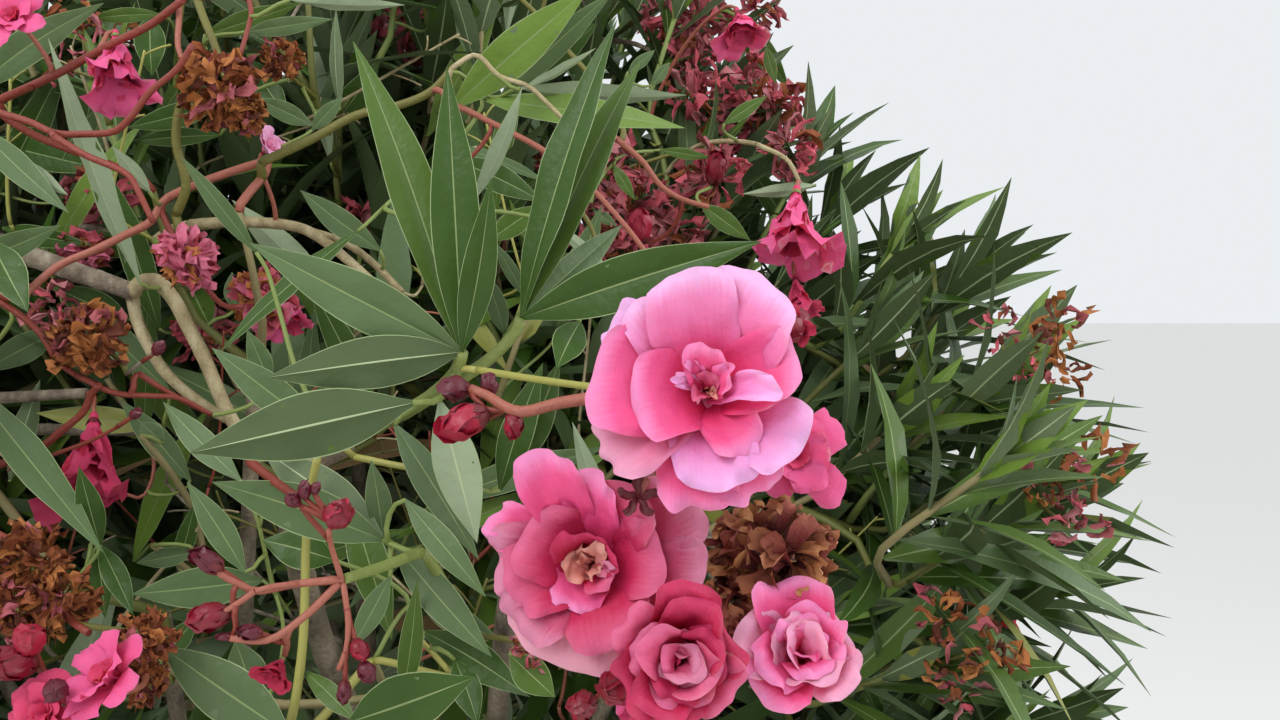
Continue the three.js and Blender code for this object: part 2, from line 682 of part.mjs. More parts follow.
// The leafy shoot at the front, with each of its leaves where it belongs.
function frontShoot(feed) {
  const start = feed.end.clone().addScaledVector(feed.aim, GAP);
  const way = new THREE.Vector3(0.3, -0.5, 0.8).normalize();
  const first = bentLine(start, feed.aim, FRONT_TIPS[0], way, 4);
  const fork = alongLine(first, 0.55);
  const second = bentLine(fork.at, fork.way, FRONT_TIPS[1], way, 3);
  const pieces = [
    limbSolid(first, BOUGH_END_RADIUS * 0.95, TWIG_TIP_RADIUS, LIMB_SIDES),
    branchSolid(second, TWIG_ROOT_RADIUS, TWIG_TIP_RADIUS, TWIG_TIP_RADIUS * 0.9, LIMB_SIDES),
  ];
  [first, second].forEach((line, i) => {
    FRONT_LEAVES[i].forEach((leaf, k) => {
      const node = alongLine(line, 0.96 - 0.05 * k).at;
      const tip = FRONT_TIPS[i].clone().add(vector(leaf.tip));
      const along = tip.clone().sub(node).normalize();
      const root = node.addScaledVector(along, -LEAF_ROOT);
      pieces.push(leafSolid(root, tip, new THREE.Vector3(0.1, -0.8, 0.4), leaf.width));
    });
  });
  return largestBody(joined(pieces));
}

// The flowering stalk at the front, with a branch to each bloom, to the spent one and to the buds.
function frontStalk(feed) {
  const start = feed.end.clone().addScaledVector(feed.aim, GAP);
  const main = bentLine(start, feed.aim, STALK_FORK, feed.aim, 4);
  const pieces = [limbSolid(main, BOUGH_END_RADIUS * 0.8, STALK_RADIUS, LIMB_SIDES)];
  const branchTo = (share, to, arrive, radius) => {
    const from = alongLine(main, share);
    const line = bentLine(from.at, from.way, to, arrive, 3);
    pieces.push(branchSolid(line, radius * 0.5, radius, radius * 0.8, 3));
  };
  FRONT_BLOOMS.forEach((bloom, i) => {
    const faces = vector(bloom.faces).normalize();
    const back = vector(bloom.at).addScaledVector(faces, -(bloom.radius * BLOOM_DEPTH + GAP));
    branchTo(0.98 - 0.06 * i, back, faces, 3);
  });
  const spentAt = vector(SPENT_BLOOM.at);
  const spentWay = spentAt.clone().sub(STALK_FORK).normalize();
  branchTo(0.68, spentAt.addScaledVector(spentWay, -SPENT_BLOOM.radius * 1.25), spentWay, 2.8);
  branchTo(0.6, BUD_FORK, new THREE.Vector3(-1, 0, 0.1), 2.8);
  for (const bud of FRONT_BUDS) {
    const at = vector(bud.at);
    pieces.push(branchSolid([BUD_FORK, at], 1, 1.8, 1.6, 3));
    pieces.push(solidOf(new THREE.OctahedronGeometry(bud.radius * 1.2).translate(at.x, at.y, at.z)));
  }
  return largestBody(joined(pieces));
}

// Materials, one for each kind of piece
const material = (color, roughness) => new THREE.MeshStandardMaterial({ color, roughness, metalness: 0 });
const TERRACOTTA = material(0xb4683f, 0.85);
const SOIL = material(0x2f2219, 0.95);
const BARK = material(0x8d8069, 0.85);
const LEAF_GREEN = material(0x4d7a3c, 0.5);
const STALK_RED = material(0x9c4a3c, 0.6);
const PETAL_PINK = material(0xee6f96, 0.55);
const SPENT_BROWN = material(0x9a5a2e, 0.85);

const plant = new THREE.Group();

function place(name, solid, look) {
  const mesh = new THREE.Mesh(geometryOf(solid), look);
  mesh.name = name;
  plant.add(mesh);
}

const stems = makeStems();
const masses = makeMasses(stems);
const feeds = masses.map((mass) => {
  const within = mass.stem.fork.clone().lerp(CROWN_CENTRE, STEM_SHARE);
  const hub = within.lerp(mass.middle, HUB_SHARE);
  const end = mass.stem.fork.clone().lerp(hub, BOUGH_SHARE);
  const aim = hub.clone().sub(end).normalize();
  mass.feed = { label: mass.label, stem: mass.stem, end, aim, hub };
  return mass.feed;
});
const frontStem = stems.slice(0, STEM_COUNT).reduce((best, s) => (s.fork.y < best.fork.y ? s : best));
const frontAim = FRONT_TIPS[0].clone().sub(FRONT_FOOT).normalize();
const frontFeed = { label: "front", stem: frontStem, end: FRONT_FOOT, aim: frontAim };
const stalkAim = STALK_FORK.clone().sub(STALK_FOOT).normalize();
const stalkFeed = { label: "flowering", stem: frontStem, end: STALK_FOOT, aim: stalkAim };
const boughs = makeBoughs(stems, [...feeds, frontFeed, stalkFeed]);

const blooms = FRONT_BLOOMS.map(({ name, at, faces, radius }) => {
  return { name, solid: bloomSolid(vector(at), vector(faces), radius) };
});
const spent = { name: SPENT_BLOOM.name, solid: spentSolid(vector(SPENT_BLOOM.at), SPENT_BLOOM.radius, 3) };

for (const tip of shootTips()) {
  const away = (mass) => mass.middle.distanceTo(tip.at);
  masses.reduce((best, mass) => (away(mass) < away(best) ? mass : best)).tips.push(tip);
}

place("pot", potSolid(), TERRACOTTA);
place("potting_soil", soilSolid(), SOIL);
stems.forEach((s) => place(s.name, s.solid, BARK));
boughs.forEach((b) => place(b.name, b.solid, BARK));

const front = frontShoot(frontFeed);
place("foliage_front", front, LEAF_GREEN);
const stalk = frontStalk(stalkFeed);
place("flower_stalk", stalk, STALK_RED);
blooms.forEach((b) => place(b.name, b.solid, PETAL_PINK));
place(spent.name, spent.solid, SPENT_BROWN);

const obstacles = [...stems, ...boughs].map((l) => asObstacle(l.keepOff));
obstacles.push(...[front, stalk, ...blooms.map((b) => b.solid), spent.solid].map(asObstacle));
masses.forEach((mass) => {
  mass.stemIn = massStem(mass);
});
for (const mass of masses) {
  const otherStems = masses.filter((m) => m !== mass).map((m) => asObstacle(m.stemIn.keepOff));
  place(`foliage_${mass.label}`, growMass(mass, masses, [...obstacles, ...otherStems]), LEAF_GREEN);
}

export default plant;
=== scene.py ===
# A double pink oleander in a terracotta pot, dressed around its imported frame. Metres, +Z up.
import math

import bpy
import numpy as np
from numpy.linalg import norm
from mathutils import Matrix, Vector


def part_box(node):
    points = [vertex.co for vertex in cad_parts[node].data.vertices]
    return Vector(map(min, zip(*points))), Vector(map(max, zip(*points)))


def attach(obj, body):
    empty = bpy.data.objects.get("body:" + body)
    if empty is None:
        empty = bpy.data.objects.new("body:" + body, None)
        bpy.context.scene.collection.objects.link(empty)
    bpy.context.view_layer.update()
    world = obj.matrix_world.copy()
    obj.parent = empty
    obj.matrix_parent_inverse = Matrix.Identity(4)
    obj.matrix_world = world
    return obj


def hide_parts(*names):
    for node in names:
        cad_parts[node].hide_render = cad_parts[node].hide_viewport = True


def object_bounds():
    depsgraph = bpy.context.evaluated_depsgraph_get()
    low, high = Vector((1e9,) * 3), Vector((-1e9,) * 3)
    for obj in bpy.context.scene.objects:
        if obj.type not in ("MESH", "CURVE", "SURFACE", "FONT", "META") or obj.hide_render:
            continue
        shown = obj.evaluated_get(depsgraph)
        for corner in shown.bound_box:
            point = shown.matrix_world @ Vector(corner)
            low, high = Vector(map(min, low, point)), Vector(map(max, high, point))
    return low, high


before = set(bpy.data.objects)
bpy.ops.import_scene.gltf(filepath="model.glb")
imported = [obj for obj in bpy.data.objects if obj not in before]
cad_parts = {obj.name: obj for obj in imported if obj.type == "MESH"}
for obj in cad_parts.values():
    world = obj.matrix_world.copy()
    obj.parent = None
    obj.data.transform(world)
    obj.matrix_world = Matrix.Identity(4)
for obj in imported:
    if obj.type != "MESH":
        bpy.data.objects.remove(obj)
cad_low, cad_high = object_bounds()

# The camera stands where the photograph was taken, close in front of the crown
CAMERA_AT = np.array((0.240, -0.925, 1.170))
CAMERA_PITCH = math.radians(-3)
PHOTO_WIDTH = 1280
PHOTO_HEIGHT = 720
FOCAL_PIXELS = 1108
SENSOR_WIDTH = 36
NEAREST_SEEN = 0.01
AHEAD = np.array((0, math.cos(CAMERA_PITCH), math.sin(CAMERA_PITCH)))
RIGHT = np.array((1.0, 0, 0))
UPWARD = np.cross(RIGHT, AHEAD)

# The plant's own measures, as in its solids
CROWN_CENTRE = np.array((0, 0, 1.0))
CROWN_RADII = np.array((0.610, 0.560, 0.520))
CROWN_REACH = 1.05
STEM_COUNT = 5
STEM_FOOT_RING = 0.058
STEM_FORK_RING = 0.150
STEM_FORK_HEIGHT = 0.610
STEM_FOOT_RADIUS = 0.013
STEM_FORK_RADIUS = 0.010
ROOT_FLARE = 1.5
FLARE_HEIGHT = 0.024
BOUGH_END_RADIUS = 0.006
SHOOT_RADIUS = 0.0044
FIRST_STEM_TURN = -54
STEM_TURN_VARY = 16
STEM_SWAY = 0.024
FORK_HEIGHT_VARY = 0.070
MIDDLE_STEM_FOOT = 0.008
MIDDLE_STEM_FORK = 0.020
MIDDLE_STEM_RISE = 0.110
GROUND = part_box("stem_1")[0].z
MASS_DEPTH = 0.7
FORK_PULL = 0.6
HUB_SHARE = 0.7
BOUGH_SHARE = 0.6
# Rings of foliage masses: name, rise in degrees, how many, turn of the first
RINGS = [
    ("top", 90, 1, 0), ("upper", 44, 5, -90), ("middle", 8, 6, -96), ("lower", -27, 5, -54),
]
STRAIGHT_TIP = 0.082
# Lengths of a rounded line's steps
STALK_STEP = 0.004
STEP = 0.005
BOUGH_STEP = 0.008
TWIG_STEP = 0.022
# Sides of the tubes
STEM_SIDES = 18
BOUGH_SIDES = 12
SHOOT_SIDES = 10
STALK_SIDES = 7
TWIG_SIDES = 5
# A tube's ends narrow to this share, and its first ring is turned by this direction
END_SHARE = 0.4
ASKEW = (0.3, 0.2, 0.93)
SCAR_REACH = 0.0016
TWIG_THICK = 0.0036
TWIG_LOSS = 0.0009
TWIG_THIN = 0.0021
# How much a tip avoids wood that is far along the twigs
DETOUR = 0.35
SHORTEST_TWIG = 0.018
GOLDEN_ANGLE = math.pi * (3 - math.sqrt(5))
UP = np.array((0, 0, 1.0))


def unit(v):
    v = np.asarray(v, float)
    return v / norm(v, axis=-1, keepdims=True)


def lerp(a, b, t):
    return a + (b - a) * t


def chance(a, b):
    """A repeatable number from 0 to 1 for each pair of numbers."""
    s = np.sin(a * 127.1 + b * 311.7) * 43758.5453
    return s - np.floor(s)


def seen(px, py, depth):
    """The point that shows at a pixel of the photograph, at a depth in front of the camera."""
    right = (px - PHOTO_WIDTH / 2) / FOCAL_PIXELS
    rise = (PHOTO_HEIGHT / 2 - py) / FOCAL_PIXELS
    return CAMERA_AT + depth * (AHEAD + right * RIGHT + rise * UPWARD)


def pixels_of(points):
    """Where points show in the photograph, and how deep they lie."""
    away = np.asarray(points) - CAMERA_AT
    depth = np.maximum(away @ AHEAD, 1e-3)
    px = PHOTO_WIDTH / 2 + FOCAL_PIXELS * (away @ RIGHT) / depth
    py = PHOTO_HEIGHT / 2 - FOCAL_PIXELS * (away @ UPWARD) / depth
    return px, py, away @ AHEAD


# Colours and finishes


def linear(code):
    """The linear colour of a code such as 4d7a3c."""
    parts = [int(code[i : i + 2], 16) / 255 for i in (0, 2, 4)]
    return [((c + 0.055) / 1.055) ** 2.4 if c > 0.04045 else c / 12.92 for c in parts] + [1]


PETAL_SHINE = 0.2
LEAF_SHINE = 0.3
LIGHT_REACH = 0.004
STREAKS_ALONG = (1.4, 9, 40)


class Look:
    """A material, wired up node by node."""

    def __init__(self, name, roughness):
        self.material = bpy.data.materials.new(name)
        self.material.use_nodes = True
        self.tree = self.material.node_tree
        self.shader = self.tree.nodes["Principled BSDF"]
        self.feed(self.shader, {"Roughness": roughness})

    def feed(self, node, inputs):
        """Sets a node's inputs to values, or links them to other nodes' outputs."""
        for key, value in inputs.items():
            if isinstance(value, bpy.types.NodeSocket):
                self.tree.links.new(value, node.inputs[key])
            else:
                node.inputs[key].default_value = value

    def add(self, kind, inputs, **settings):
        """The outputs of a new node."""
        node = self.tree.nodes.new("ShaderNode" + kind)
        for name, value in settings.items():
            setattr(node, name, value)
        self.feed(node, inputs)
        return node.outputs

    def colour_along(self, share, stops):
        """The base colour, by positions and colour codes on a ramp."""
        ramp = self.tree.nodes.new("ShaderNodeValToRGB")
        points = ramp.color_ramp.elements
        while len(points) < len(stops):
            points.new(0.5)
        for point, (at, code) in zip(points, stops):
            point.position = at
            point.color = linear(code)
        self.feed(ramp, {"Fac": share})
        self.feed(self.shader, {"Base Color": ramp.outputs["Color"]})

    def let_through(self, share):
        """Light passes a little way through petals, and they shine less."""
        if share:
            self.feed(self.shader, {
                "Specular IOR Level": PETAL_SHINE,
                "Subsurface Weight": share,
                "Subsurface Scale": LIGHT_REACH,
            })

    def with_relief(self, scale, depth, detail=3):
        """The material, with a fine uneven surface at a number of bumps to the metre."""
        place = self.add("TexCoord", {})["Object"]
        noise = self.add("TexNoise", {"Vector": place, "Scale": scale, "Detail": detail})
        bump = self.add("Bump", {"Height": noise["Fac"], "Distance": depth})
        self.feed(self.shader, {"Normal": bump["Normal"]})
        return self.material


def plain(name, code, roughness, depth=0.0006, through=0.0, scale=220, shine=0.5):
    """One base colour with a fine relief."""
    look = Look(name, roughness)
    look.feed(look.shader, {"Base Color": linear(code), "Specular IOR Level": shine})
    look.let_through(through)
    return look.with_relief(scale, depth)


def plains(rows, **common):
    return [plain(*row, **common) for row in rows]


def graded(name, stops, roughness, streaks, scale, depth, through=0.0, across=0.0):
    """A colour that changes from a piece's root to its tip, with lengthwise streaks."""
    look = Look(name, roughness)
    place = look.add("Attribute", {}, attribute_name="place")["Vector"]
    parts = look.add("SeparateXYZ", {"Vector": place})
    long = look.add("VectorMath", {0: place, 1: STREAKS_ALONG}, operation="MULTIPLY")["Vector"]
    grain = look.add("TexNoise", {"Vector": long, "Scale": 1.6, "Detail": 4})["Fac"]
    shift = {0: grain, 1: streaks, 2: parts["X"]}
    shift = look.add("Math", shift, operation="MULTIPLY_ADD")["Value"]
    aside = look.add("Math", {0: parts["Y"], 1: parts["Y"]}, operation="MULTIPLY")["Value"]
    total = look.add("Math", {0: aside, 1: across, 2: shift}, operation="MULTIPLY_ADD")["Value"]
    look.colour_along(total, [(min(1, at + streaks / 2), code) for at, code in stops])
    look.let_through(through)
    return look.with_relief(scale, depth)


def mottled(name, codes, roughness, scale, bumps, depth, stretch=(1, 1, 1)):
    """Patches of several colours, as on bark, clay and soil, with a relief."""
    look = Look(name, roughness)
    place = look.add("TexCoord", {})["Object"]
    place = look.add("Mapping", {"Vector": place, "Scale": stretch})["Vector"]
    patches = {"Vector": place, "Scale": scale, "Detail": 6, "Roughness": 0.65}
    patches = look.add("TexNoise", patches)["Fac"]
    last = len(codes) - 1
    look.colour_along(patches, [(0.3 + 0.4 * i / last, code) for i, code in enumerate(codes)])
    return look.with_relief(bumps, depth, 6)


LEAF_TOPS = plains([
    ("leaf_dark", "38541a", 0.40), ("leaf_mid", "4c6626", 0.40), ("leaf_grey", "586e45", 0.46),
    ("leaf_young", "6a8634", 0.40),
], shine=LEAF_SHINE) + plains([("leaf_yellow", "8a8c42", 0.50), ("leaf_dry", "7d6440", 0.75)])
LEAF_LOOKS = LEAF_TOPS + plains([
    ("leaf_back_dark", "4b5c38", 0.6), ("leaf_back_mid", "667754", 0.6),
], shine=LEAF_SHINE) + plains([
    ("leaf_back_pale", "90a07e", 0.6), ("leaf_rib", "82945c", 0.5),
    ("leaf_rib_back", "a9b88c", 0.5), ("leaf_margin", "93a472", 0.5),
])
FIRST_BACK = len(LEAF_TOPS)
DARK, MID, GREY, YOUNG, YELLOW, DRY = range(FIRST_BACK)
BACK_DARK, BACK_MID, BACK_PALE, RIB, RIB_BACK, MARGIN = range(FIRST_BACK, len(LEAF_LOOKS))


def add_object(name, data):
    made = bpy.data.objects.new(name, data)
    bpy.context.scene.collection.objects.link(made)
    return made


class Heap:
    """Things of one kind, gathered as arrays and joined into one mesh."""

    def __init__(self, name, slot, looks, replaced=()):
        self.name, self.slot, self.looks, self.replaced = name, slot, looks, replaced
        self.points, self.places = [], []
        self.corners, self.sizes, self.face_looks = [], [], []
        self.total = 0

    def add(self, points, places, covers):
        """points and places are (items, n, 3). Each cover is one item's faces and their looks."""
        items, n = points.shape[:2]
        starts = self.total + n * np.arange(items)
        for faces, look in covers:
            corners = faces[None] + starts[:, None, None]
            self.corners.append(corners.reshape(-1))
            self.sizes.append(np.full(items * len(faces), faces.shape[1]))
            self.face_looks.append(np.broadcast_to(look, (items, len(faces))).reshape(-1))
        self.points.append(points.reshape(-1, 3))
        self.places.append(np.broadcast_to(places, points.shape).reshape(-1, 3))
        self.total += items * n

    def build(self):
        mesh = bpy.data.meshes.new(self.name)
        corners = np.concatenate(self.corners).astype(np.int32)
        sizes = np.concatenate(self.sizes)
        mesh.vertices.add(self.total)
        mesh.vertices.foreach_set("co", np.concatenate(self.points).astype(np.float32).ravel())
        mesh.loops.add(len(corners))
        mesh.loops.foreach_set("vertex_index", corners)
        mesh.polygons.add(len(sizes))
        mesh.polygons.foreach_set("loop_start", (np.cumsum(sizes) - sizes).astype(np.int32))
        looks = np.concatenate(self.face_looks).astype(np.int32)
        mesh.polygons.foreach_set("material_index", looks)
        place = mesh.attributes.new("place", "FLOAT_VECTOR", "POINT")
        place.data.foreach_set("vector", np.concatenate(self.places).astype(np.float32).ravel())
        mesh.update(calc_edges=True)
        mesh.shade_smooth()
        for look in self.looks:
            mesh.materials.append(look)
        piece = add_object(self.name, mesh)
        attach(piece, "root")
        if self.replaced:
            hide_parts(*self.replaced)
        return piece


def sheet_faces(rows, columns):
    """The faces of a closed thin sheet: its upper side, then its lower side."""
    r, c = np.meshgrid(np.arange(rows - 1), np.arange(columns - 1), indexing="ij")
    a = (r * columns + c).ravel()
    top = np.stack([a, a + columns, a + columns + 1, a + 1], 1)
    return top, top[:, ::-1] + rows * columns


# Leaves


def leaf_outline(t):
    """Half of a leaf's width at each share of its length, at most 1, on a short stalk."""
    blade = np.sin(math.pi * t**0.88) ** 1.02
    stalk = 0.09 * np.clip(1 - 5 * t, 0, 1) + 0.01
    return np.maximum(blade, stalk)


class LeafShape:
    """The rows and columns that every leaf of a kind shares, with what each strip looks like."""

    def __init__(self, rows, across, margins):
        self.t = np.linspace(0, 1, rows)
        self.v = np.array(across)
        self.top, self.back = sheet_faces(rows, len(across))
        strips = len(across) - 1
        strip = np.arange((rows - 1) * strips) % strips
        self.is_rib = (strip == strips // 2) & (strips % 2 == 1)
        self.is_margin = margins & ((strip == 0) | (strip == strips - 1))


INNER_LEAF = LeafShape(5, (-1, 0, 1), False)
SIMPLE_LEAF = LeafShape(6, (-1, -0.06, 0.06, 1), False)
FINE_LEAF = LeafShape(19, (-1, -0.965, -0.5, -0.16, -0.032, 0.032, 0.16, 0.5, 0.965, 1), True)
CLOSE_LEAF = LeafShape(13, (-1, -0.96, -0.4, -0.036, 0.036, 0.4, 0.96, 1), True)
LEAF_THICKNESS = 0.0009
RIB_HEIGHT = 0.0007


def add_leaves(heap, shape, leaves):
    """Leaves given as root, tip, facing, width, arch, fold, twist, upper look, lower look."""
    root, tip, facing, *rest = (np.array(column) for column in zip(*leaves))
    width, arch, fold, twist, upper, lower = (column[:, None] for column in rest)
    t = shape.t[None, :]
    v = shape.v[None, None, :, None]
    span = tip - root
    length = norm(span, axis=1, keepdims=True)
    along = span / length
    side = unit(np.cross(facing, along) + 1e-6)
    normal = np.cross(along, side)
    luck = chance(root[:, :1] * 900 + tip[:, 2:] * 700, 1)
    swing = 0.035 * length * np.sin(math.pi * t) * (luck - 0.5)
    middle = root[:, None] + span[:, None] * t[..., None]
    middle = middle + normal[:, None] * (4 * t * (1 - t) * arch * length)[..., None]
    middle = middle + side[:, None] * swing[..., None]
    slope = 4 * (1 - 2 * t) * arch
    lifted = unit(normal[:, None] - along[:, None] * slope[..., None])
    turn = (twist * (t - 0.3))[..., None]
    across = side[:, None] * np.cos(turn) + lifted * np.sin(turn)
    facing_now = lifted * np.cos(turn) - side[:, None] * np.sin(turn)
    half = (width / 2 * leaf_outline(t))[..., None, None]
    folded = fold[..., None, None]
    ripple = 0.10 * half * v**2 * np.sin(5.5 * math.pi * t + 20 * luck)[..., None, None]
    sideways = across[:, :, None] * (v * half * np.cos(folded))
    rise = np.abs(v) * half * np.sin(folded) * (1 - 0.3 * v**2) + ripple
    ends = np.minimum(1, 12 * t * (1 - t) + 0.02)[..., None, None]
    thick = LEAF_THICKNESS / 2 * (1 - v**2) * ends
    rib = RIB_HEIGHT * (np.abs(v) < 0.07) * ends * (1 - 0.7 * t[..., None, None])
    edge_free = (1 - v**2) > 1e-6
    sheet = middle[:, :, None] + sideways + facing_now[:, :, None] * rise
    top = sheet + facing_now[:, :, None] * ((thick - 0.5 * rib) * edge_free)
    back = sheet - facing_now[:, :, None] * ((thick + rib) * edge_free)
    count = len(leaves)
    points = np.concatenate([top.reshape(count, -1, 3), back.reshape(count, -1, 3)], 1)
    grid_t, grid_v = np.meshgrid(shape.t, shape.v, indexing="ij")
    place = np.stack([grid_t.ravel(), grid_v.ravel(), np.zeros(grid_t.size)], 1)
    top_look = np.where(shape.is_rib, RIB, np.where(shape.is_margin, MARGIN, upper))
    back_look = np.where(shape.is_rib, RIB_BACK, np.where(shape.is_margin, MARGIN, lower))
    heap.add(points, np.tile(place, (2, 1))[None], [(shape.top, top_look), (shape.back, back_look)])


# Wood


def along_line(points, share):
    """The point and the direction at a share of a line's length."""
    points = np.asarray(points)
    steps = np.diff(points, axis=0)
    lengths = norm(steps, axis=1)
    left = share * lengths.sum()
    i = 0
    while i < len(lengths) - 1 and left > lengths[i]:
        left -= lengths[i]
        i += 1
    way = steps[i] / lengths[i]
    return points[i] + way * left, way


def line_length(points):
    return norm(np.diff(points, axis=0), axis=1).sum()


def taper(line, first, last):
    """A radius for each point of a line."""
    return lerp(first, last, np.linspace(0, 1, len(line)))


def bent_line(start, set_out, to, arrive, steps):
    """A line of straight steps that sets out one way and arrives another."""
    span = norm(to - start)
    second = start + set_out * span * 0.33
    third = to - arrive * span * 0.33
    points = [start, start + set_out * span * 0.1]
    for i in range(1, steps - 2):
        t = 0.1 + 0.8 * i / (steps - 2)
        u = 1 - t
        points.append(u**3 * start + 3 * u * u * t * second + 3 * u * t * t * third + t**3 * to)
    return points + [to - arrive * span * 0.1, to]


def smooth(points, step):
    """A rounded line through the given points, in even steps of about that length."""
    points = np.asarray(points, float)
    if len(points) < 3:
        points = np.array([points[0], (points[0] + points[-1]) / 2, points[-1]])
    gaps = np.sqrt(norm(np.diff(points, axis=0), axis=1))
    knots = np.concatenate([[0], np.cumsum(gaps)])
    slopes = np.gradient(points, knots, axis=0)
    count = max(4, int(line_length(points) / step))
    made = []
    for s in np.linspace(0, knots[-1], count):
        i = min(np.searchsorted(knots, s, side="right") - 1, len(points) - 2)
        h = knots[i + 1] - knots[i]
        t = (s - knots[i]) / h
        start = (1 + 2 * t) * (1 - t) ** 2 * points[i] + t * (1 - t) ** 2 * h * slopes[i]
        end = t * t * (3 - 2 * t) * points[i + 1] + t * t * (t - 1) * h * slopes[i + 1]
        made.append(start + end)
    return np.array(made)


def curve(start, set_out, to, arrive, bends, step):
    """The rounded form of bent_line."""
    return smooth(bent_line(start, set_out, to, arrive, bends), step)


def wall_faces(rings, sides):
    """The faces between rings of points."""
    r, c = np.meshgrid(np.arange(rings - 1), np.arange(sides), indexing="ij")
    a = (r * sides + c).ravel()
    b = (r * sides + (c + 1) % sides).ravel()
    return np.stack([a, b, b + sides, a + sides], 1)


def tube(heap, line, radii, sides, look, relief=None):
    """A closed tube along a line. relief gives the share of each radius at its turn and length."""
    line = np.asarray(line)
    ways = unit(np.gradient(line, axis=0))
    across = np.cross(ways[0], ASKEW)
    rings = []
    steps = norm(np.diff(line, axis=0), axis=1)
    lengths = np.concatenate([[0], np.cumsum(steps)])
    turns = 2 * math.pi * np.arange(sides) / sides
    for at, way, radius, length in zip(line, ways, radii, lengths):
        across = unit(across - way * (across @ way))
        third = np.cross(way, across)
        reach = radius * (relief(turns, length) if relief else np.ones(sides))
        ring = np.outer(np.cos(turns) * reach, across) + np.outer(np.sin(turns) * reach, third)
        rings.append(at + ring)
    first, last = (line[i] + (rings[i] - line[i]) * END_SHARE for i in (0, -1))
    rings = [first, *rings, last]
    count = len(rings)
    cap = np.arange(sides)[None]
    caps = np.concatenate([cap[:, ::-1], cap + (count - 1) * sides])
    shares = np.repeat(np.linspace(0, 1, count), sides)
    place = np.stack([shares, np.zeros(len(shares)), np.zeros(len(shares))], 1)
    walls = wall_faces(count, sides)
    heap.add(np.concatenate(rings)[None], place[None], [(walls, look), (caps, look)])


def scarred(seed, depth, ring_gap=0.031):
    """Bark relief: long waves, knots, and the raised rings that old leaf whorls leave."""

    def relief(turns, length):
        waves = np.zeros(len(turns))
        for k in range(1, 5):
            phase = 6.3 * chance(seed, k)
            twist = length * 40 * k * (chance(seed, k + 9) - 0.5)
            waves += np.sin(k * turns + phase + twist) / k
        from_ring = (length + 0.01 * chance(seed, 20)) % ring_gap - ring_gap / 2
        ring = math.exp(-((from_ring / SCAR_REACH) ** 2))
        return 1 + depth * (0.5 * waves + 1.3 * ring)

    return relief


def make_stems():
    """The stems, as in the solids: the last one stands in the middle."""
    stems = []
    for i in range(STEM_COUNT + 1):
        turn = FIRST_STEM_TURN + 360 / STEM_COUNT * i + STEM_TURN_VARY * (chance(i, 1) - 0.5)
        turn = math.radians(turn)
        if i < STEM_COUNT:
            foot_ring = STEM_FOOT_RING * (0.85 + 0.3 * chance(i, 2))
            fork_ring = STEM_FORK_RING * (0.9 + 0.25 * chance(i, 3))
            fork_height = STEM_FORK_HEIGHT + FORK_HEIGHT_VARY * (chance(i, 4) - 0.5)
        else:
            foot_ring, fork_ring = MIDDLE_STEM_FOOT, MIDDLE_STEM_FORK
            fork_height = STEM_FORK_HEIGHT + MIDDLE_STEM_RISE
        out = np.array((math.cos(turn), math.sin(turn), 0))
        foot = out * foot_ring + UP * GROUND
        fork = out * fork_ring + UP * fork_height
        sway = np.array((-out[1], out[0], 0)) * STEM_SWAY * (chance(i, 5) - 0.5)
        flare_top = foot + UP * FLARE_HEIGHT
        bend = lerp(foot, fork, 0.4) + sway + UP * FLARE_HEIGHT
        line = smooth([foot, flare_top, bend, fork], STEP)
        stems.append({"turn": turn, "fork": fork, "line": line})
    return stems


def sphere_point(rise, turn):
    flat = math.cos(rise)
    return np.array((flat * math.cos(turn), flat * math.sin(turn), math.sin(rise)))


def make_masses(stems):
    """Where each mass of foliage is, and what bough feeds it, as in the solids."""
    masses = []
    for ring, rise, count, start in RINGS:
        for i in range(count):
            turn = math.radians(start + 360 / count * i)
            out = sphere_point(math.radians(rise), turn)
            middle = CROWN_CENTRE + out * CROWN_RADII * MASS_DEPTH
            nearest = max(stems[:STEM_COUNT], key=lambda s: math.cos(s["turn"] - turn))
            stem = stems[STEM_COUNT] if count == 1 else nearest
            hub = lerp(lerp(stem["fork"], CROWN_CENTRE, FORK_PULL), middle, HUB_SHARE)
            end = lerp(stem["fork"], hub, BOUGH_SHARE)
            feed = {"stem": stem, "end": end, "aim": unit(hub - end), "hub": hub}
            masses.append({"ring": ring, "middle": middle, "feed": feed, "tips": []})
    return masses


# The leafy shoot and the flowering stalk at the front, as in the solids
FRONT_FOOT = np.array((0.090, -0.365, 1.098))
FRONT_TIP = np.array((0.160, -0.425, 1.147))
STALK_FOOT = np.array((0.196, -0.355, 1.040))
STALK_FORK = np.array((0.262, -0.479, 1.086))


def nodes_called(start):
    return [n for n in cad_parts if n.startswith(start)]


bark = Heap("bough_bark", "bark", [
    mottled("old_bark", ("4d4437", "7d705d", "a89c84"), 0.85, 60, 400, 0.0016, (1, 1, 0.5))
], nodes_called("bough_"))
stem_bark = Heap("stem_bark", "bark", [
    mottled("stem_bark", ("453c30", "6f6352", "978a73"), 0.88, 45, 300, 0.0022, (1, 1, 0.4))
], nodes_called("stem_"))
TWIG_LOOKS = plains([
    ("twig_olive", "6f7238", 0.55), ("twig_tan", "8f8459", 0.65), ("twig_green", "7f8f4a", 0.5),
])
OLIVE, TAN, GREEN = range(len(TWIG_LOOKS))
twigs = Heap("twigs", "bark", TWIG_LOOKS)

stems = make_stems()
masses = make_masses(stems)
wood = []


def add_wood(line, shares):
    """Notes where stalks may start: points of a line, each with the line's direction."""
    wood.extend(along_line(line, share) for share in shares)


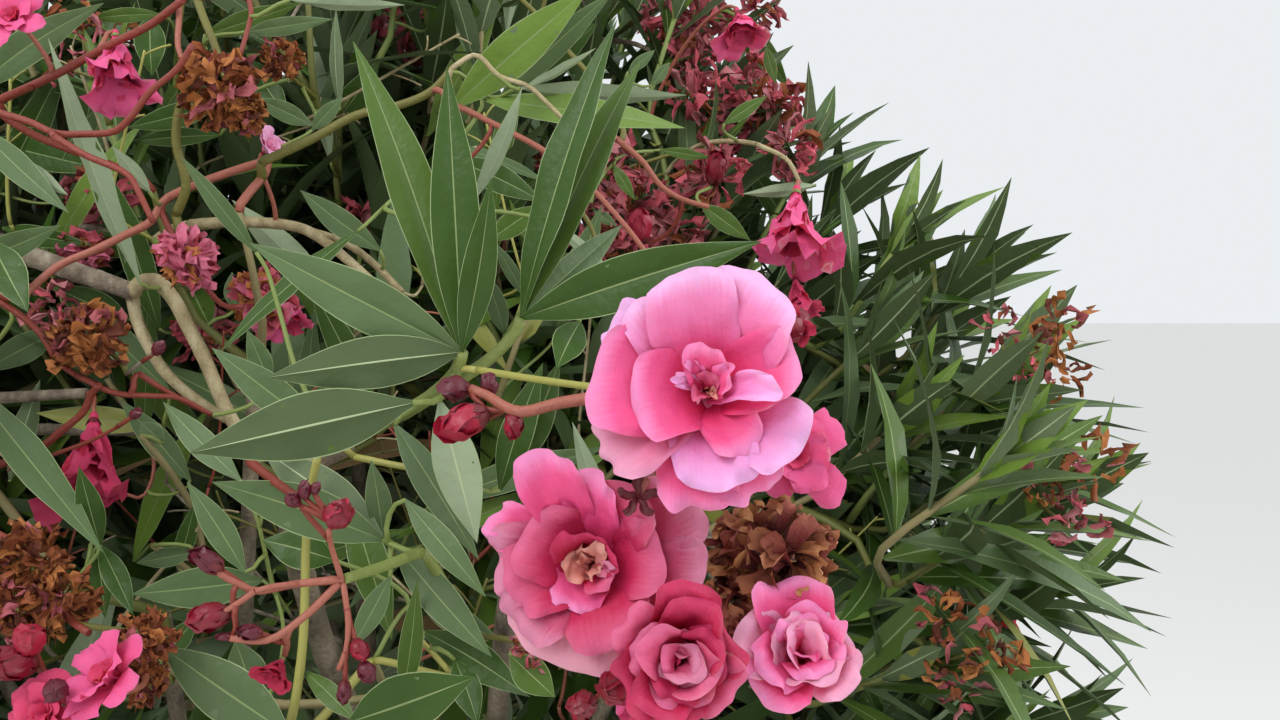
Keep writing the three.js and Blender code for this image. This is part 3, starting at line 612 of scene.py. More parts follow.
def make_limbs():
    """Stems and boughs with their bark, and the stem of each mass."""
    for number, stem in enumerate(stems):
        line = stem["line"]
        share = np.linspace(0, 1, len(line))
        flare = 1 + (ROOT_FLARE - 1) * np.maximum(0, 1 - 9 * share) ** 2
        radii = lerp(STEM_FOOT_RADIUS, STEM_FORK_RADIUS, share) * flare
        tube(stem_bark, line, radii, STEM_SIDES, 0, scarred(number, 0.09))
    front_stem = min(stems[:STEM_COUNT], key=lambda s: s["fork"][1])
    feeds = [mass["feed"] for mass in masses]
    for foot, aim_at in ((FRONT_FOOT, FRONT_TIP), (STALK_FOOT, STALK_FORK)):
        feeds.append({"stem": front_stem, "end": foot, "aim": unit(aim_at - foot)})
    for number, stem in enumerate(stems):
        own = sorted((f for f in feeds if f["stem"] is stem), key=lambda f: -f["end"][2])
        for order, feed in enumerate(own):
            at, way = along_line(stem["line"], 1 - 0.09 * order)
            set_out = way if order == 0 else unit(lerp(way, feed["aim"], 0.8))
            line = curve(at, set_out, feed["end"], feed["aim"], 6, BOUGH_STEP)
            radii = taper(line, STEM_FORK_RADIUS * (0.98 if order == 0 else 0.8), BOUGH_END_RADIUS)
            tube(bark, line, radii, BOUGH_SIDES, 0, scarred(number * 7 + order, 0.08))
    for mass in masses:
        feed = mass["feed"]
        arrive = unit(feed["hub"] - feed["end"])
        mass["line"] = bent_line(feed["end"], feed["aim"], feed["hub"], arrive, 3)
        line = smooth(mass["line"], BOUGH_STEP)
        radii = taper(line, BOUGH_END_RADIUS, SHOOT_RADIUS)
        tube(bark, line, radii, SHOOT_SIDES, 0, scarred(len(line), 0.07))


# The flower heads near the front, which stand where the solids have theirs
FRONT_FLOWERS = [
    (0.011, -0.318, 1.285), (-0.058, -0.325, 1.147), (-0.026, -0.451, 1.045),
    (-0.065, -0.267, 1.303), (-0.055, -0.329, 1.074), (0.006, -0.224, 1.165),
    (0.122, -0.445, 1.035), (0.208, -0.019, 1.253), (0.300, 0.188, 1.380),
    (0.335, 0.140, 1.427), (0.301, -0.019, 1.265), (0.342, -0.172, 1.212),
    (0.326, -0.335, 1.152),
]
HEAD_LENGTH = 0.0712
# Layers of shoots: how many over the sphere, share of the crown's radii and how much it varies,
# sine of the lowest rise, least distance between tips, share of tips in flower
SHOOT_LAYERS = [
    (70, 0.82, 0.10, -0.72, 0.085, 0.36),
    (9, 0.52, 0.12, -0.35, 0.085, 0),
    (520, 0.80, 0.28, -0.76, 0.042, 0.07),
    (260, 0.56, 0.24, -0.66, 0.050, 0),
    (90, 0.34, 0.18, -0.50, 0.062, 0),
]
INNER_SHARE = 0.6
PROUD = 0.030
LEAF_LENGTH = 0.138
LEAF_WIDTH = 0.024
# What a tip carries: a flower head, grown by rule or listed, or else only leaves
GROWN, PLACED_BY_HAND = 1, 2
# Whorls of a shoot: distance behind its tip, opening in degrees, size
WHORLS = [
    (0.001, 16, 0.50), (0.009, 27, 0.74), (0.024, 40, 0.92), (0.045, 53, 1.0), (0.070, 64, 1.0),
    (0.100, 73, 0.94),
]
# A leaf that would stand out of the crown is tried shorter and more closed: share, degrees
LEAF_TRIES = ((1, 0), (0.86, 12), (0.72, 20))
# The part of the view that is kept free of the crown's own foliage, for what is listed there: its
# pixels, how deep it reaches, and the deeper part from a pixel to the right and up
CLEAR_PIXELS = (-70, 830, -90, 800)
CLEAR_DEPTH = 0.74
DEEP_CORNER = (560, 300)
DEEP_CLEAR_DEPTH = 0.86


def in_deep_corner(px, py):
    return (px > DEEP_CORNER[0]) & (py < DEEP_CORNER[1])


def in_clear(points):
    """True where a point lies in the part of the view that is kept free."""
    px, py, depth = pixels_of(points)
    left, right, top, bottom = CLEAR_PIXELS
    inside = (px > left) & (px < right) & (py > top) & (py < bottom)
    reach = np.where(in_deep_corner(px, py), DEEP_CLEAR_DEPTH, CLEAR_DEPTH)
    return bool((inside & (depth < reach)).any())


def in_box(point):
    """True within the solids' own box and the little that soft leaves may stand proud of it."""
    return all(low - PROUD < p < high + PROUD for low, p, high in zip(cad_low, point, cad_high))


def share_of_crown(points):
    return norm((points - CROWN_CENTRE) / CROWN_RADII, axis=-1)


def tip_way(at):
    """Which way a shoot points at its tip: outwards from the crown, and up."""
    out = unit((at - CROWN_CENTRE) / CROWN_RADII**2)
    return unit(0.8 * out + 0.5 * UP)


def shoot_tips():
    tips = []
    for i, flower in enumerate(FRONT_FLOWERS):
        at = np.array(flower)
        at = at - tip_way(at) * HEAD_LENGTH
        tips.append({"at": at, "head": PLACED_BY_HAND, "seed": 900 + i, "inner": False})
    for count, share, vary, lowest, space, flowers in SHOOT_LAYERS:
        for k in range(count):
            rise = math.asin(1 - 2 * (k + 0.5) / count)
            if math.sin(rise) < lowest:
                continue
            reach = share + vary * (chance(k, count) - 0.5)
            at = CROWN_CENTRE + sphere_point(rise, k * GOLDEN_ANGLE) * CROWN_RADII * reach
            if in_clear(at) or any(norm(t["at"] - at) < space for t in tips):
                continue
            head = GROWN if chance(k, 77) < flowers else None
            tips.append({"at": at, "head": head, "seed": k + count, "inner": share < INNER_SHARE})
    return tips


def twig_line(start, way_out, tip, way):
    neck = tip - way * STRAIGHT_TIP
    if norm(neck - start) < STRAIGHT_TIP:
        return [start, neck, tip]
    knee = lerp(start, neck, 0.45) + way_out * norm(tip - start) * 0.1
    return [start, knee, neck, tip]


def whorl_leaves(line, way, seed):
    """The leaves of one shoot, in whorls of three, the young ones closed round its tip."""
    made = []
    across = unit(np.cross((way[2], way[0], way[1]), way))
    total = line_length(line)
    tint = (DARK, MID, MID, GREY, DARK)[int(5 * chance(seed, 8))]
    back = (BACK_DARK, BACK_MID)[int(2 * chance(seed, 9))]
    for whorl, (behind_tip, opening, size) in enumerate(WHORLS):
        if behind_tip > total * 0.8:
            break
        node = along_line(line, 1 - behind_tip / total)[0]
        for i in range(3):
            luck = chance(seed, i + 10 * whorl)
            other = chance(seed + 0.5, i + 10 * whorl)
            if other < 0.06 * whorl:
                continue
            turn = 2 * math.pi * (i + whorl / 2) / 3 + 6 * chance(seed, 3) + 0.5 * (luck - 0.5)
            out = across * math.cos(turn) + np.cross(way, across) * math.sin(turn)
            length = LEAF_LENGTH * size * (0.84 + 0.32 * luck)
            for share, closer in LEAF_TRIES:
                angle = math.radians(opening - closer + 14 * (other - 0.5))
                along = way * math.cos(angle) + out * math.sin(angle)
                tip = node + along * length * share - UP * 0.012 * whorl * other
                middle = lerp(node, tip, np.array([[0.3], [0.65], [1.0]]))
                if share_of_crown(tip) < CROWN_REACH and in_box(tip) and not in_clear(middle):
                    break
            else:
                continue
            top = tint
            if whorl < 2 and chance(seed, 12) < 0.5:
                top = YOUNG
            elif other > 0.94:
                top = YELLOW if other < 0.97 or whorl < 3 else DRY
            elif luck > 0.7:
                top = (tint + 1) % 3
            width = LEAF_WIDTH * (0.8 + 0.3 * chance(seed, i + 3 * whorl + 40))
            width = width * min(1, size + 0.15)
            arch = 0.02 + 0.07 * luck
            fold = 0.12 + 0.3 * other
            made.append((node, tip, way, width, arch, fold, 0.9 * (luck - 0.5), top, back))
    return made


def grow_crown(leaf_heaps):
    """Every shoot grows from the nearest wood of its mass, and gives new wood for the next."""
    heads = []
    gathered = {}
    for tip in shoot_tips():
        nearest = min(masses, key=lambda m: norm(m["middle"] - tip["at"]))
        nearest["tips"].append(tip)
    for mass in masses:
        near = [(*along_line(mass["line"], share), 0.0) for share in (0.7, 0.85, 1)]
        hub = mass["feed"]["hub"]
        for tip in sorted(mass["tips"], key=lambda t: norm(t["at"] - hub)):
            way = tip_way(tip["at"])
            neck = tip["at"] - way * STRAIGHT_TIP
            free = [w for w in near if norm(w[0] - neck) > SHORTEST_TWIG]
            start, way_out, behind_it = min(
                free, key=lambda w: norm(w[0] - neck) + DETOUR * w[2]
            )
            line = twig_line(start, way_out, tip["at"], way)
            if tip["head"] is None and in_clear(smooth(line, 0.03)):
                continue
            length = norm(tip["at"] - start)
            for share in (0.3, 0.55):
                near.append((*along_line(line, share), behind_it + length * share))
            rounded = smooth(line, TWIG_STEP)
            thick = TWIG_THICK - TWIG_LOSS * min(1, behind_it / 0.3)
            radii = lerp(thick, TWIG_THIN, np.linspace(0, 1, len(rounded)) ** 0.7)
            old = chance(tip["seed"], 31)
            look = OLIVE if old < 0.5 else TAN if old < 0.8 else GREEN
            tube(twigs, rounded, radii, TWIG_SIDES, look)
            leaves = whorl_leaves(line, way, tip["seed"])
            gathered.setdefault((mass["ring"], tip["inner"]), []).extend(leaves)
            if tip["head"]:
                heads.append((tip, way))
        wood.extend(w[:2] for w in near)
    for (ring, inner), leaves in gathered.items():
        add_leaves(leaf_heaps[ring], INNER_LEAF if inner else SIMPLE_LEAF, leaves)
    return heads


make_limbs()
leaf_heaps = {}
for ring, *_ in RINGS:
    leaf_heaps[ring] = Heap("leaves_" + ring, "leaves", LEAF_LOOKS, nodes_called("foliage_" + ring))
heads = grow_crown(leaf_heaps)

# Blossom

PETAL_THICKNESS = 0.0005
PROFILE_STEPS = 32


class PetalShape:
    """The grid of a petal: a square of rows and columns drawn out to a round outline."""

    def __init__(self, rows, columns):
        b, a = np.meshgrid(np.linspace(-1, 1, rows), np.linspace(-1, 1, columns), indexing="ij")
        self.x = (a * lerp(np.sqrt(1 - b**2 / 2), 1, 0.35 * np.clip(b, 0, 1))).ravel()
        self.y = (b * np.sqrt(1 - a**2 / 2)).ravel()
        self.s = (self.y + 1) / 2
        self.inside = 1 - np.maximum(abs(a), abs(b)).ravel() ** 4
        self.out = self.x**2 + self.y**2
        self.angle = np.arctan2(self.y, self.x)
        self.top, self.back = sheet_faces(rows, columns)


COARSE_PETAL = PetalShape(4, 4)
SIMPLE_PETAL = PetalShape(6, 5)
WRAP_PETAL = PetalShape(7, 6)
CLOSE_PETAL = PetalShape(9, 8)
FINE_PETAL = PetalShape(21, 20)
PROFILE_REACH = 1.25
OUTLINE_UNEVEN = 0.055
PLEATS = 0.010
LIP = 0.030


def wave_sum(angle, *parts):
    """A sum of waves, each given as its count in a turn, height and phase."""
    return sum(height * np.sin(count * angle + phase) for count, height, phase in parts)


def add_petals(heap, shape, at, axis, petals):
    """Petals given as turn, length, width, first and last lean, cup, ruffle, roll, crumple, look.

    They stand round the axis. A lean of 0 degrees is along it, and 90 lies open.
    """
    columns = [np.array(c, float)[:, None] for c in zip(*petals)]
    turn, length, width, lean_in, lean_out, cup, ruffle, roll, crumple, look = columns
    axis = np.broadcast_to(unit(axis), (len(turn), 3))
    at = np.broadcast_to(at, (len(turn), 3))
    seeds = turn * 0.37 + at[:, :1] * 911 + at[:, 2:] * 577
    f = [2 * math.pi * chance(seeds, k) for k in range(12)]
    angle = shape.angle
    uneven = wave_sum(angle, (2, 1, f[9]), (3, 0.6, f[10]), (7, 0.3, f[11]))
    grown = 1 + OUTLINE_UNEVEN * shape.out * shape.s * uneven
    x, y = shape.x * grown, shape.y * grown
    s = np.clip((y + 1) / 2, 0, PROFILE_REACH)
    first = unit(RIGHT - axis * (axis @ RIGHT)[:, None])
    second = np.cross(axis, first)
    share = np.linspace(0, PROFILE_REACH, PROFILE_STEPS + 1)[None]
    tip_roll = roll * np.clip((share - 0.72) / 0.28, 0, 1) ** 2
    lean = np.radians(lean_in + (lean_out - lean_in) * share + tip_roll)
    step = length * PROFILE_REACH / PROFILE_STEPS
    out = (np.cumsum(np.sin(lean), 1) - np.sin(lean[:, :1])) * step
    rise = (np.cumsum(np.cos(lean), 1) - np.cos(lean[:, :1])) * step
    place = s / PROFILE_REACH * PROFILE_STEPS
    low = np.minimum(place.astype(int), PROFILE_STEPS - 1)
    part = place - low
    below, above = (
        [np.take_along_axis(table, k, 1) for table in (out, rise, lean)] for k in (low, low + 1)
    )
    out, rise, lean = (b * (1 - part) + a * part for b, a in zip(below, above))
    radial = (np.cos(np.radians(turn)) * first + np.sin(np.radians(turn)) * second)[:, None]
    axis = axis[:, None]
    side = np.cross(axis, radial)
    normal = -np.cos(lean)[..., None] * radial + np.sin(lean)[..., None] * axis
    half = width / 2 * (0.55 + 0.5 * s)
    lateral = half * np.sin(cup * x) / cup
    inward = half * (1 - np.cos(cup * x)) / cup
    wave = wave_sum(angle, (4, 1, f[0]), (7, 0.7, f[1]), (12, 0.45, f[2]))
    wave = wave * shape.out**2 * s**0.5 * ruffle * length
    lumps = np.sin(4 * x + f[3]) * np.sin(5 * y + f[4]) + 0.6 * np.sin(9 * x + 6 * y + f[5])
    lumps = lumps + 0.4 * np.sin(14 * y - 9 * x + f[6])
    shove = np.sin(5 * y + f[7]) + 0.6 * np.sin(8 * x - 5 * y + f[8])
    lumps, shove = (v * crumple * length * s**0.5 for v in (lumps, shove))
    pleats = np.sin(11 * x * (1.2 - 0.4 * s) + f[5]) + 0.5 * np.sin(23 * x + f[6])
    lumps = lumps + PLEATS * length * pleats * s * (1.3 - s)
    lumps = lumps - LIP * length * np.clip((shape.out - 0.7) / 0.3, 0, 1) ** 2 * np.sign(roll)
    middle = at[:, None] + radial * out[..., None] + axis * rise[..., None]
    middle = middle + side * (lateral + shove)[..., None]
    middle = middle + normal * (inward + wave + lumps)[..., None]
    thick = PETAL_THICKNESS / 2 * shape.inside[:, None]
    points = np.concatenate([middle + normal * thick, middle - normal * thick], 1)
    place = np.stack([shape.s, shape.x, np.zeros(len(shape.s))], 1)
    looks = look.astype(int)
    heap.add(points, np.tile(place, (2, 1))[None], [(shape.top, looks), (shape.back, looks)])


PINK, ROSE, DEEP, PALE = range(4)
BROWN, RUST, TAN_HIGHLIGHT_PETAL, WINE, MAUVE, RED_PETAL, FADED = range(7)
# Each flower: how much the leans of its petals vary, then its rings. Each ring: petals, length
# and width in shares of the flower's radius, first and last lean in degrees, cup, ruffle, roll,
# crumple, look.
FLOWER_RINGS = {
    "open": (14, [
        (5, 1.22, 1.05, 40, 98, 0.30, 0.035, 10, 0.010, PINK),
        (5, 0.98, 0.88, 22, 72, 0.55, 0.050, 10, 0.014, PINK),
        (5, 0.62, 0.55, 8, 40, 0.80, 0.060, 0, 0.020, ROSE),
    ]),
    "cup": (12, [
        (5, 1.25, 1.10, 30, 55, 0.60, 0.040, 30, 0.012, PINK),
        (5, 1.05, 0.90, 18, 40, 0.80, 0.050, 10, 0.016, ROSE),
        (4, 0.70, 0.60, 6, 25, 1.00, 0.060, 0, 0.020, ROSE),
    ]),
    "bell": (16, [
        (5, 1.65, 1.00, 6, 48, 0.70, 0.070, 30, 0.022, PINK),
        (4, 1.35, 0.75, 4, 26, 0.90, 0.070, 10, 0.030, ROSE),
        (3, 1.00, 0.50, 2, 14, 1.20, 0.060, 0, 0.030, DEEP),
    ]),
    "wilted": (34, [
        (5, 1.25, 0.80, 25, 75, 1.20, 0.060, 60, 0.040, PINK),
        (4, 1.00, 0.60, 10, 50, 1.40, 0.070, 40, 0.045, ROSE),
        (3, 0.70, 0.45, 5, 30, 1.60, 0.080, 0, 0.050, DEEP),
    ]),
}
# Dried flowers: length and width of their flaps in shares of the radius, lean, curl, ruffle,
# crumple, looks
BALLS = {
    "spent": (0.74, 0.36, 0, 60, 0.11, 0.075, (
        BROWN, TAN_HIGHLIGHT_PETAL, BROWN, RUST, TAN_HIGHLIGHT_PETAL, BROWN, TAN_HIGHLIGHT_PETAL, WINE,
    )),
    "faded": (0.85, 0.60, 0, 60, 0.10, 0.080, (RED_PETAL, FADED, RED_PETAL, FADED, TAN_HIGHLIGHT_PETAL)),
    "wine": (0.95, 0.38, 0, 60, 0.10, 0.085, (WINE, MAUVE, WINE, RED_PETAL, RED_PETAL, BROWN)),
    "hero": (0.86, 0.62, 30, 70, 0.045, 0.034, (0, 1, 2, 0, 2, 1)),
}


def flower_petals(kind, radius, seed, shade):
    spread, rings = FLOWER_RINGS[kind]
    made = []
    for ring, (count, length, width, lean_in, lean_out, cup, *rest) in enumerate(rings):
        ruffle, roll, crumple, look = rest
        for i in range(count):
            a, b, c = (chance(seed * 1.37 + ring, i + 7 * k) for k in range(3))
            leaning = 1.5 * spread * (b - 0.5)
            made.append((
                360 * (i + 0.5 * ring + 0.5 * (a - 0.5)) / count + 360 * chance(seed, 50),
                length * radius * (0.82 + 0.36 * c), width * radius * (0.75 + 0.45 * a),
                lean_in + 0.4 * leaning, lean_out + leaning, cup * (0.7 + 0.6 * b), ruffle,
                roll * (2 * c - 0.6), crumple, look if shade is None else shade,
            ))
    return made


def even_ring(count, first_turn, *petal):
    """Petals that are all alike."""
    return [(360 * i / count + first_turn, *petal) for i in range(count)]


def add_ball(heap, shape, at, radius, flaps, kind, seed):
    """A dried flower: crumpled flaps curled all round a small heart."""
    long, wide, lean, curl, ruffle, crumple, looks = BALLS[kind]
    k = np.arange(flaps)
    height = 1 - 2 * (k + 0.5) / flaps
    turn = k * GOLDEN_ANGLE + seed
    level = np.sqrt(1 - height**2)
    out = np.stack([level * np.cos(turn), level * np.sin(turn), height], 1)
    rows = []
    for i in k:
        a, b, c, d = (chance(seed + 0.7, i + 11 * j) for j in range(4))
        rows.append((
            360 * a, radius * long * (0.75 + 0.5 * b), radius * wide * (0.7 + 0.7 * c),
            lean + 50 * (b - 0.4), curl + 110 * c, 1.3 + 1.1 * a, ruffle, 90 * (d - 0.3), crumple,
            looks[int(len(looks) * d)],
        ))
    add_petals(heap, shape, at + out * radius * 0.36, out, rows)


petals = Heap("petals", "petals", plains([
    ("petal_pink", "ea5c90", 0.55, 0.0003, 0.25), ("petal_rose", "d6446c", 0.55, 0.0003, 0.2),
    ("petal_deep", "b02a48", 0.6, 0.0004, 0.15), ("petal_pale", "f6a8cb", 0.55, 0.0003, 0.25),
], scale=500))
# The tan flaps are partly the dried petals' own tan and partly a painted highlight, dealt out among
# the brown ones.
spent_petals = Heap("spent_petals", "spent_petals", plains([
    ("petal_brown", "8e4c26", 0.8), ("petal_rust", "68311f", 0.8), ("petal_tan_highlight", "ae6c36", 0.8),
    ("petal_wine", "a8545a", 0.7, 0.0005), ("petal_mauve", "bc7478", 0.7, 0.0005),
    ("petal_dark_red", "cc5a68", 0.7, 0.0005), ("petal_faded", "d9738c", 0.6, 0.0004, 0.15),
], scale=700))
buds = Heap("buds", "petals", plains([
    ("bud_red", "7e1026", 0.38), ("bud_purple", "5e1626", 0.45), ("bud_magenta", "a21c38", 0.38),
], scale=500, depth=0.0003) + plains([
    ("calyx_green", "76803f", 0.55), ("calyx_red", "6c2429", 0.55), ("calyx_dark", "5c1018", 0.55),
], scale=400, depth=0.0003))
BUD_RED, BUD_PURPLE, BUD_MAGENTA, CALYX_GREEN, CALYX_RED, CALYX_DARK = range(6)
STALK_LOOKS = plains([
    ("stalk_olive", "6f6b2f", 0.55), ("stalk_red", "86382a", 0.5), ("stalk_pink", "a25e4c", 0.5),
    ("stalk_green", "7f8c48", 0.5),
], scale=300, depth=0.001) + [
    mottled("stalk_wood", ("5a4f40", "857766", "aaa18b"), 0.8, 90, 500, 0.0012, (1, 1, 0.5)),
    mottled("stalk_tan", ("8a7a56", "ab9c74", "cabd98"), 0.7, 90, 500, 0.0010, (1, 1, 0.5)),
    plain("stalk_yellow", "a8a556", 0.5),
]
S_OLIVE, S_RED, S_PINK, S_GREEN, S_WOOD, S_TAN, S_YELLOW = range(len(STALK_LOOKS))
stalks = Heap("flower_stalks", "flower_stalk", STALK_LOOKS, ["flower_stalk"])
# A direction that no stalk or bud is likely to share
ASIDE = (0.3, 0.2, 0.9)


def add_bud(at, axis, radius, length, look, near=False):
    """A twisted closed bud on its small sepals. It stands on at."""
    axis = unit(axis)
    share = np.linspace(0.02, 1, 11)
    luck = chance(at[0] * 700, at[2] * 900)
    bow = np.cross(axis, ASIDE) * length * 0.12 * (luck - 0.3)
    line = at + np.outer(share * length, axis) + np.outer(np.sin(math.pi * share), bow)
    radii = radius * np.sin(math.pi * np.clip(share, 0.04, 0.985) ** 0.68) ** 0.85 + 0.0002

    def twisted(turns, along):
        return 0.86 + 0.22 * np.abs(np.sin(2.5 * turns + along / length * 3.4 + luck))

    if near:
        tube(buds, line, radii * 0.9, 16, look, twisted)
        stout = radius / length - 0.30
        lean, reach = 62 + 150 * stout, length * (1.24 + 1.5 * stout)
        looks = (look, look, BUD_MAGENTA if look == BUD_RED else BUD_PURPLE)
        wraps = [(
            72 * i + 40 * luck, reach * (0.88 + 0.2 * chance(luck, i)), radius * 2.3, lean,
            -lean - 4, 0.95, 0.02, 12, 0.03, looks[i % 3],
        ) for i in range(5)]
        add_petals(buds, WRAP_PETAL, at, axis, wraps)
    else:
        tube(buds, line[::2], radii[::2], 10, look, twisted)
    count, shape = (5, SIMPLE_PETAL) if near else (3, COARSE_PETAL)
    long, wide = length * 0.42 + radius * 0.5, radius * 5 / count
    sepals = even_ring(count, 20, long, wide, 88, -22, 0.9, 0.03, 14, 0.03, CALYX_RED)
    add_petals(buds, shape, at - axis * radius * 0.22, axis, sepals)


def add_flower(kind, at, axis, radius, seed, near=False, shade=None):
    """A flower with its middle at the given point, on a short tube. Returns the tube's foot."""
    axis = unit(axis)
    look = CALYX_RED if chance(seed, 60) < 0.6 else CALYX_GREEN
    if kind in BALLS:
        heap, foot = spent_petals, at - axis * radius * 0.55
        far_flaps, near_flaps = (7, 30) if kind == "wine" else (12, 54)
        shape = COARSE_PETAL if kind == "wine" or not near else SIMPLE_PETAL
        add_ball(heap, shape, at, radius, near_flaps if near else far_flaps, kind, seed)
    else:
        heap, foot = petals, at - axis * radius * (0.9 if kind == "bell" else 0.5)
        shape = CLOSE_PETAL if near else SIMPLE_PETAL if kind == "open" else COARSE_PETAL
        add_petals(heap, shape, foot, axis, flower_petals(kind, radius, seed, shade))
    neck = foot + np.outer(np.linspace(-0.28, 0.12, 5) * radius, axis)
    tube(heap, neck, radius * np.array([0.06, 0.08, 0.09, 0.11, 0.14]), 6, 1)
    sepals = even_ring(5, 0, radius * 0.3, radius * 0.14, 30, 20, 0.7, 0, 0, 0.01, look)
    add_petals(buds, COARSE_PETAL, foot - axis * radius * 0.3, axis, sepals[:: 1 if near else 2])
    return foot - axis * radius * 0.28


def add_stalk(start, set_out, end, arrive, thick, thin, look, bends=8):
    line = curve(start, unit(set_out), end, unit(arrive), bends, STALK_STEP)
    sides = 8 if thick > 0.0016 else TWIG_SIDES
    tube(stalks, line, taper(line, thick, thin), sides, look)


# Wood nearer than this is passed over, for a stalk from it would be a stub
TOO_NEAR = 0.012


def join(at, arrive, thin, look, heap=stalks, thicker=1.35, touching=0.0):
    """A stalk from the nearest wood, best from behind, to a point that it must carry."""
    points = np.array([point for point, _ in wood])
    away = norm(points - at, axis=1)
    if away.min() < touching:
        return
    before = np.maximum(0, at[1] - points[:, 1])
    ahead = np.maximum(0, (points - at) @ unit(arrive))
    start, way = wood[np.argmin(away + 0.8 * before + 0.7 * ahead + 9 * (away < TOO_NEAR))]
    direct = unit(at - start)
    set_out, arrive = unit(unit(way) + 1.3 * direct), unit(unit(arrive) + 0.9 * direct)
    line = curve(start, set_out, at, arrive, 8, STEP)
    tube(heap, line, taper(line, thin * thicker, thin), STALK_SIDES, look)
    add_wood(line, (0.35, 0.6, 0.85))


def add_cyme(tip, way, seed):
    """The flower head of a shoot: one main flower with younger and older ones round it."""
    spent = chance(seed, 5) < 0.55
    fork = tip + way * 0.026
    neck = smooth(np.array([tip - way * 0.004, fork]), STALK_STEP)
    tube(stalks, neck, np.linspace(0.0021, 0.0019, 6), 8, S_OLIVE if spent else S_RED)
    across = unit(np.cross(way, ASIDE))
    third = np.cross(way, across)
    count = 4 + int(3 * chance(seed, 14))
    for i in range(count):
        a, b, c = (chance(seed + 0.3, i * 3 + k) for k in range(3))
        turn = 2 * math.pi * (i / (count - 1) + 0.15 * a)
        opening = 0 if i == 0 else 0.75 + 0.3 * b
        out = across * math.cos(turn) + third * math.sin(turn)
        aim = unit(way * math.cos(opening) + out * math.sin(opening))
        at = fork + aim * (0.045 if i == 0 else 0.026 + 0.012 * c)
        if spent:
            kind = "spent" if i == 0 or b < 0.45 else "wine"
            radius = 0.022 if i == 0 else 0.014 + 0.005 * c
        else:
            kind = "open" if i == 0 else "cup" if b < 0.2 else "wilted" if b < 0.4 else "bud"
            radius = 0.031 if i == 0 else 0.019
        if kind == "bud":
            foot, look = at, (BUD_RED, BUD_PURPLE, BUD_MAGENTA)[int(3 * c)]
            add_bud(at, aim, 0.0030 + 0.0020 * a, 0.010 + 0.009 * a, look)
        else:
            foot = add_flower(kind, at, aim, radius, seed * 3.1 + i)
        look = S_OLIVE if spent else S_PINK
        add_stalk(fork, lerp(way, aim, 0.4), foot, aim, 0.0015, 0.0011, look, 5)


for tip, way in heads:
    if tip["head"] == GROWN:
        add_cyme(tip["at"], way, tip["seed"])
    else:
        wood.append((tip["at"], way))

# The front: what stands here is placed where the photograph shows it, as pixel and depth

# Each ramp runs from a petal's root to its tip. The deeper pink towards the middle is the petals'
# own colour; the dark crimson at the very root is painted shade in the throat.
HERO_PETALS = [
    graded("bloom_" + name, stops, 0.5, streaks, 500, 0.0003, through, 0.10)
    for name, streaks, through, *stops in (
        ("pink", 0.12, 0.25, (0, "9c0a2c"), (0.22, "cc2450"), (0.45, "e23c70"), (0.8, "ea568c"),
         (1, "f283b4")),
        # The rose look is a deeper pink, darkened further into painted shade for petals in shadow
        # and deep in the blooms' middles.
        ("rose", 0.16, 0.2, (0, "780620"), (0.3, "a81436"), (0.65, "c02a54"), (1, "d65e84")),
        ("lilac", 0.14, 0.25, (0, "c83062"), (0.28, "e65a97"), (0.6, "e878b4"), (1, "eea8da")),
        ("pale", 0.18, 0.25, (0, "c84068"), (0.3, "de5a84"), (0.6, "e4749c"), (1, "e898b6")),
        ("blush", 0.26, 0.2, (0, "a8264c"), (0.35, "c84e74"), (0.7, "d8748f"), (1, "e294a8")),
        # The dusk look is a dusky pink, darkened into painted shade for the petals of the shadowed
        # blooms.
        ("dusk", 0.22, 0.2, (0, "8a1636"), (0.4, "ac3256"), (0.75, "be4a6e"), (1, "d27a98")),
        ("rim", 0.14, 0.25, (0, "9c0a2c"), (0.28, "d83066"), (0.5, "e85a90"), (0.8, "ee86b8"),
         (1, "f2aeda")),
        ("cream", 0.12, 0.2, (0, "962a40"), (0.4, "bc5c5e"), (1, "d48e80")),
        # The crimson look is a deep crimson darkened into painted shade, for the shadowed folds of
        # the lower bloom and the cupped middle of the left one.
        ("crimson", 0.18, 0.15, (0, "48020c"), (0.35, "78061e"), (0.7, "9a1030"), (1, "bc3058")),
    )
]
H_PINK, H_ROSE_SHADE, H_LILAC, H_PALE, H_BLUSH, H_DUSK_SHADE, H_RIM, H_CREAM, H_CRIMSON_SHADE = range(9)

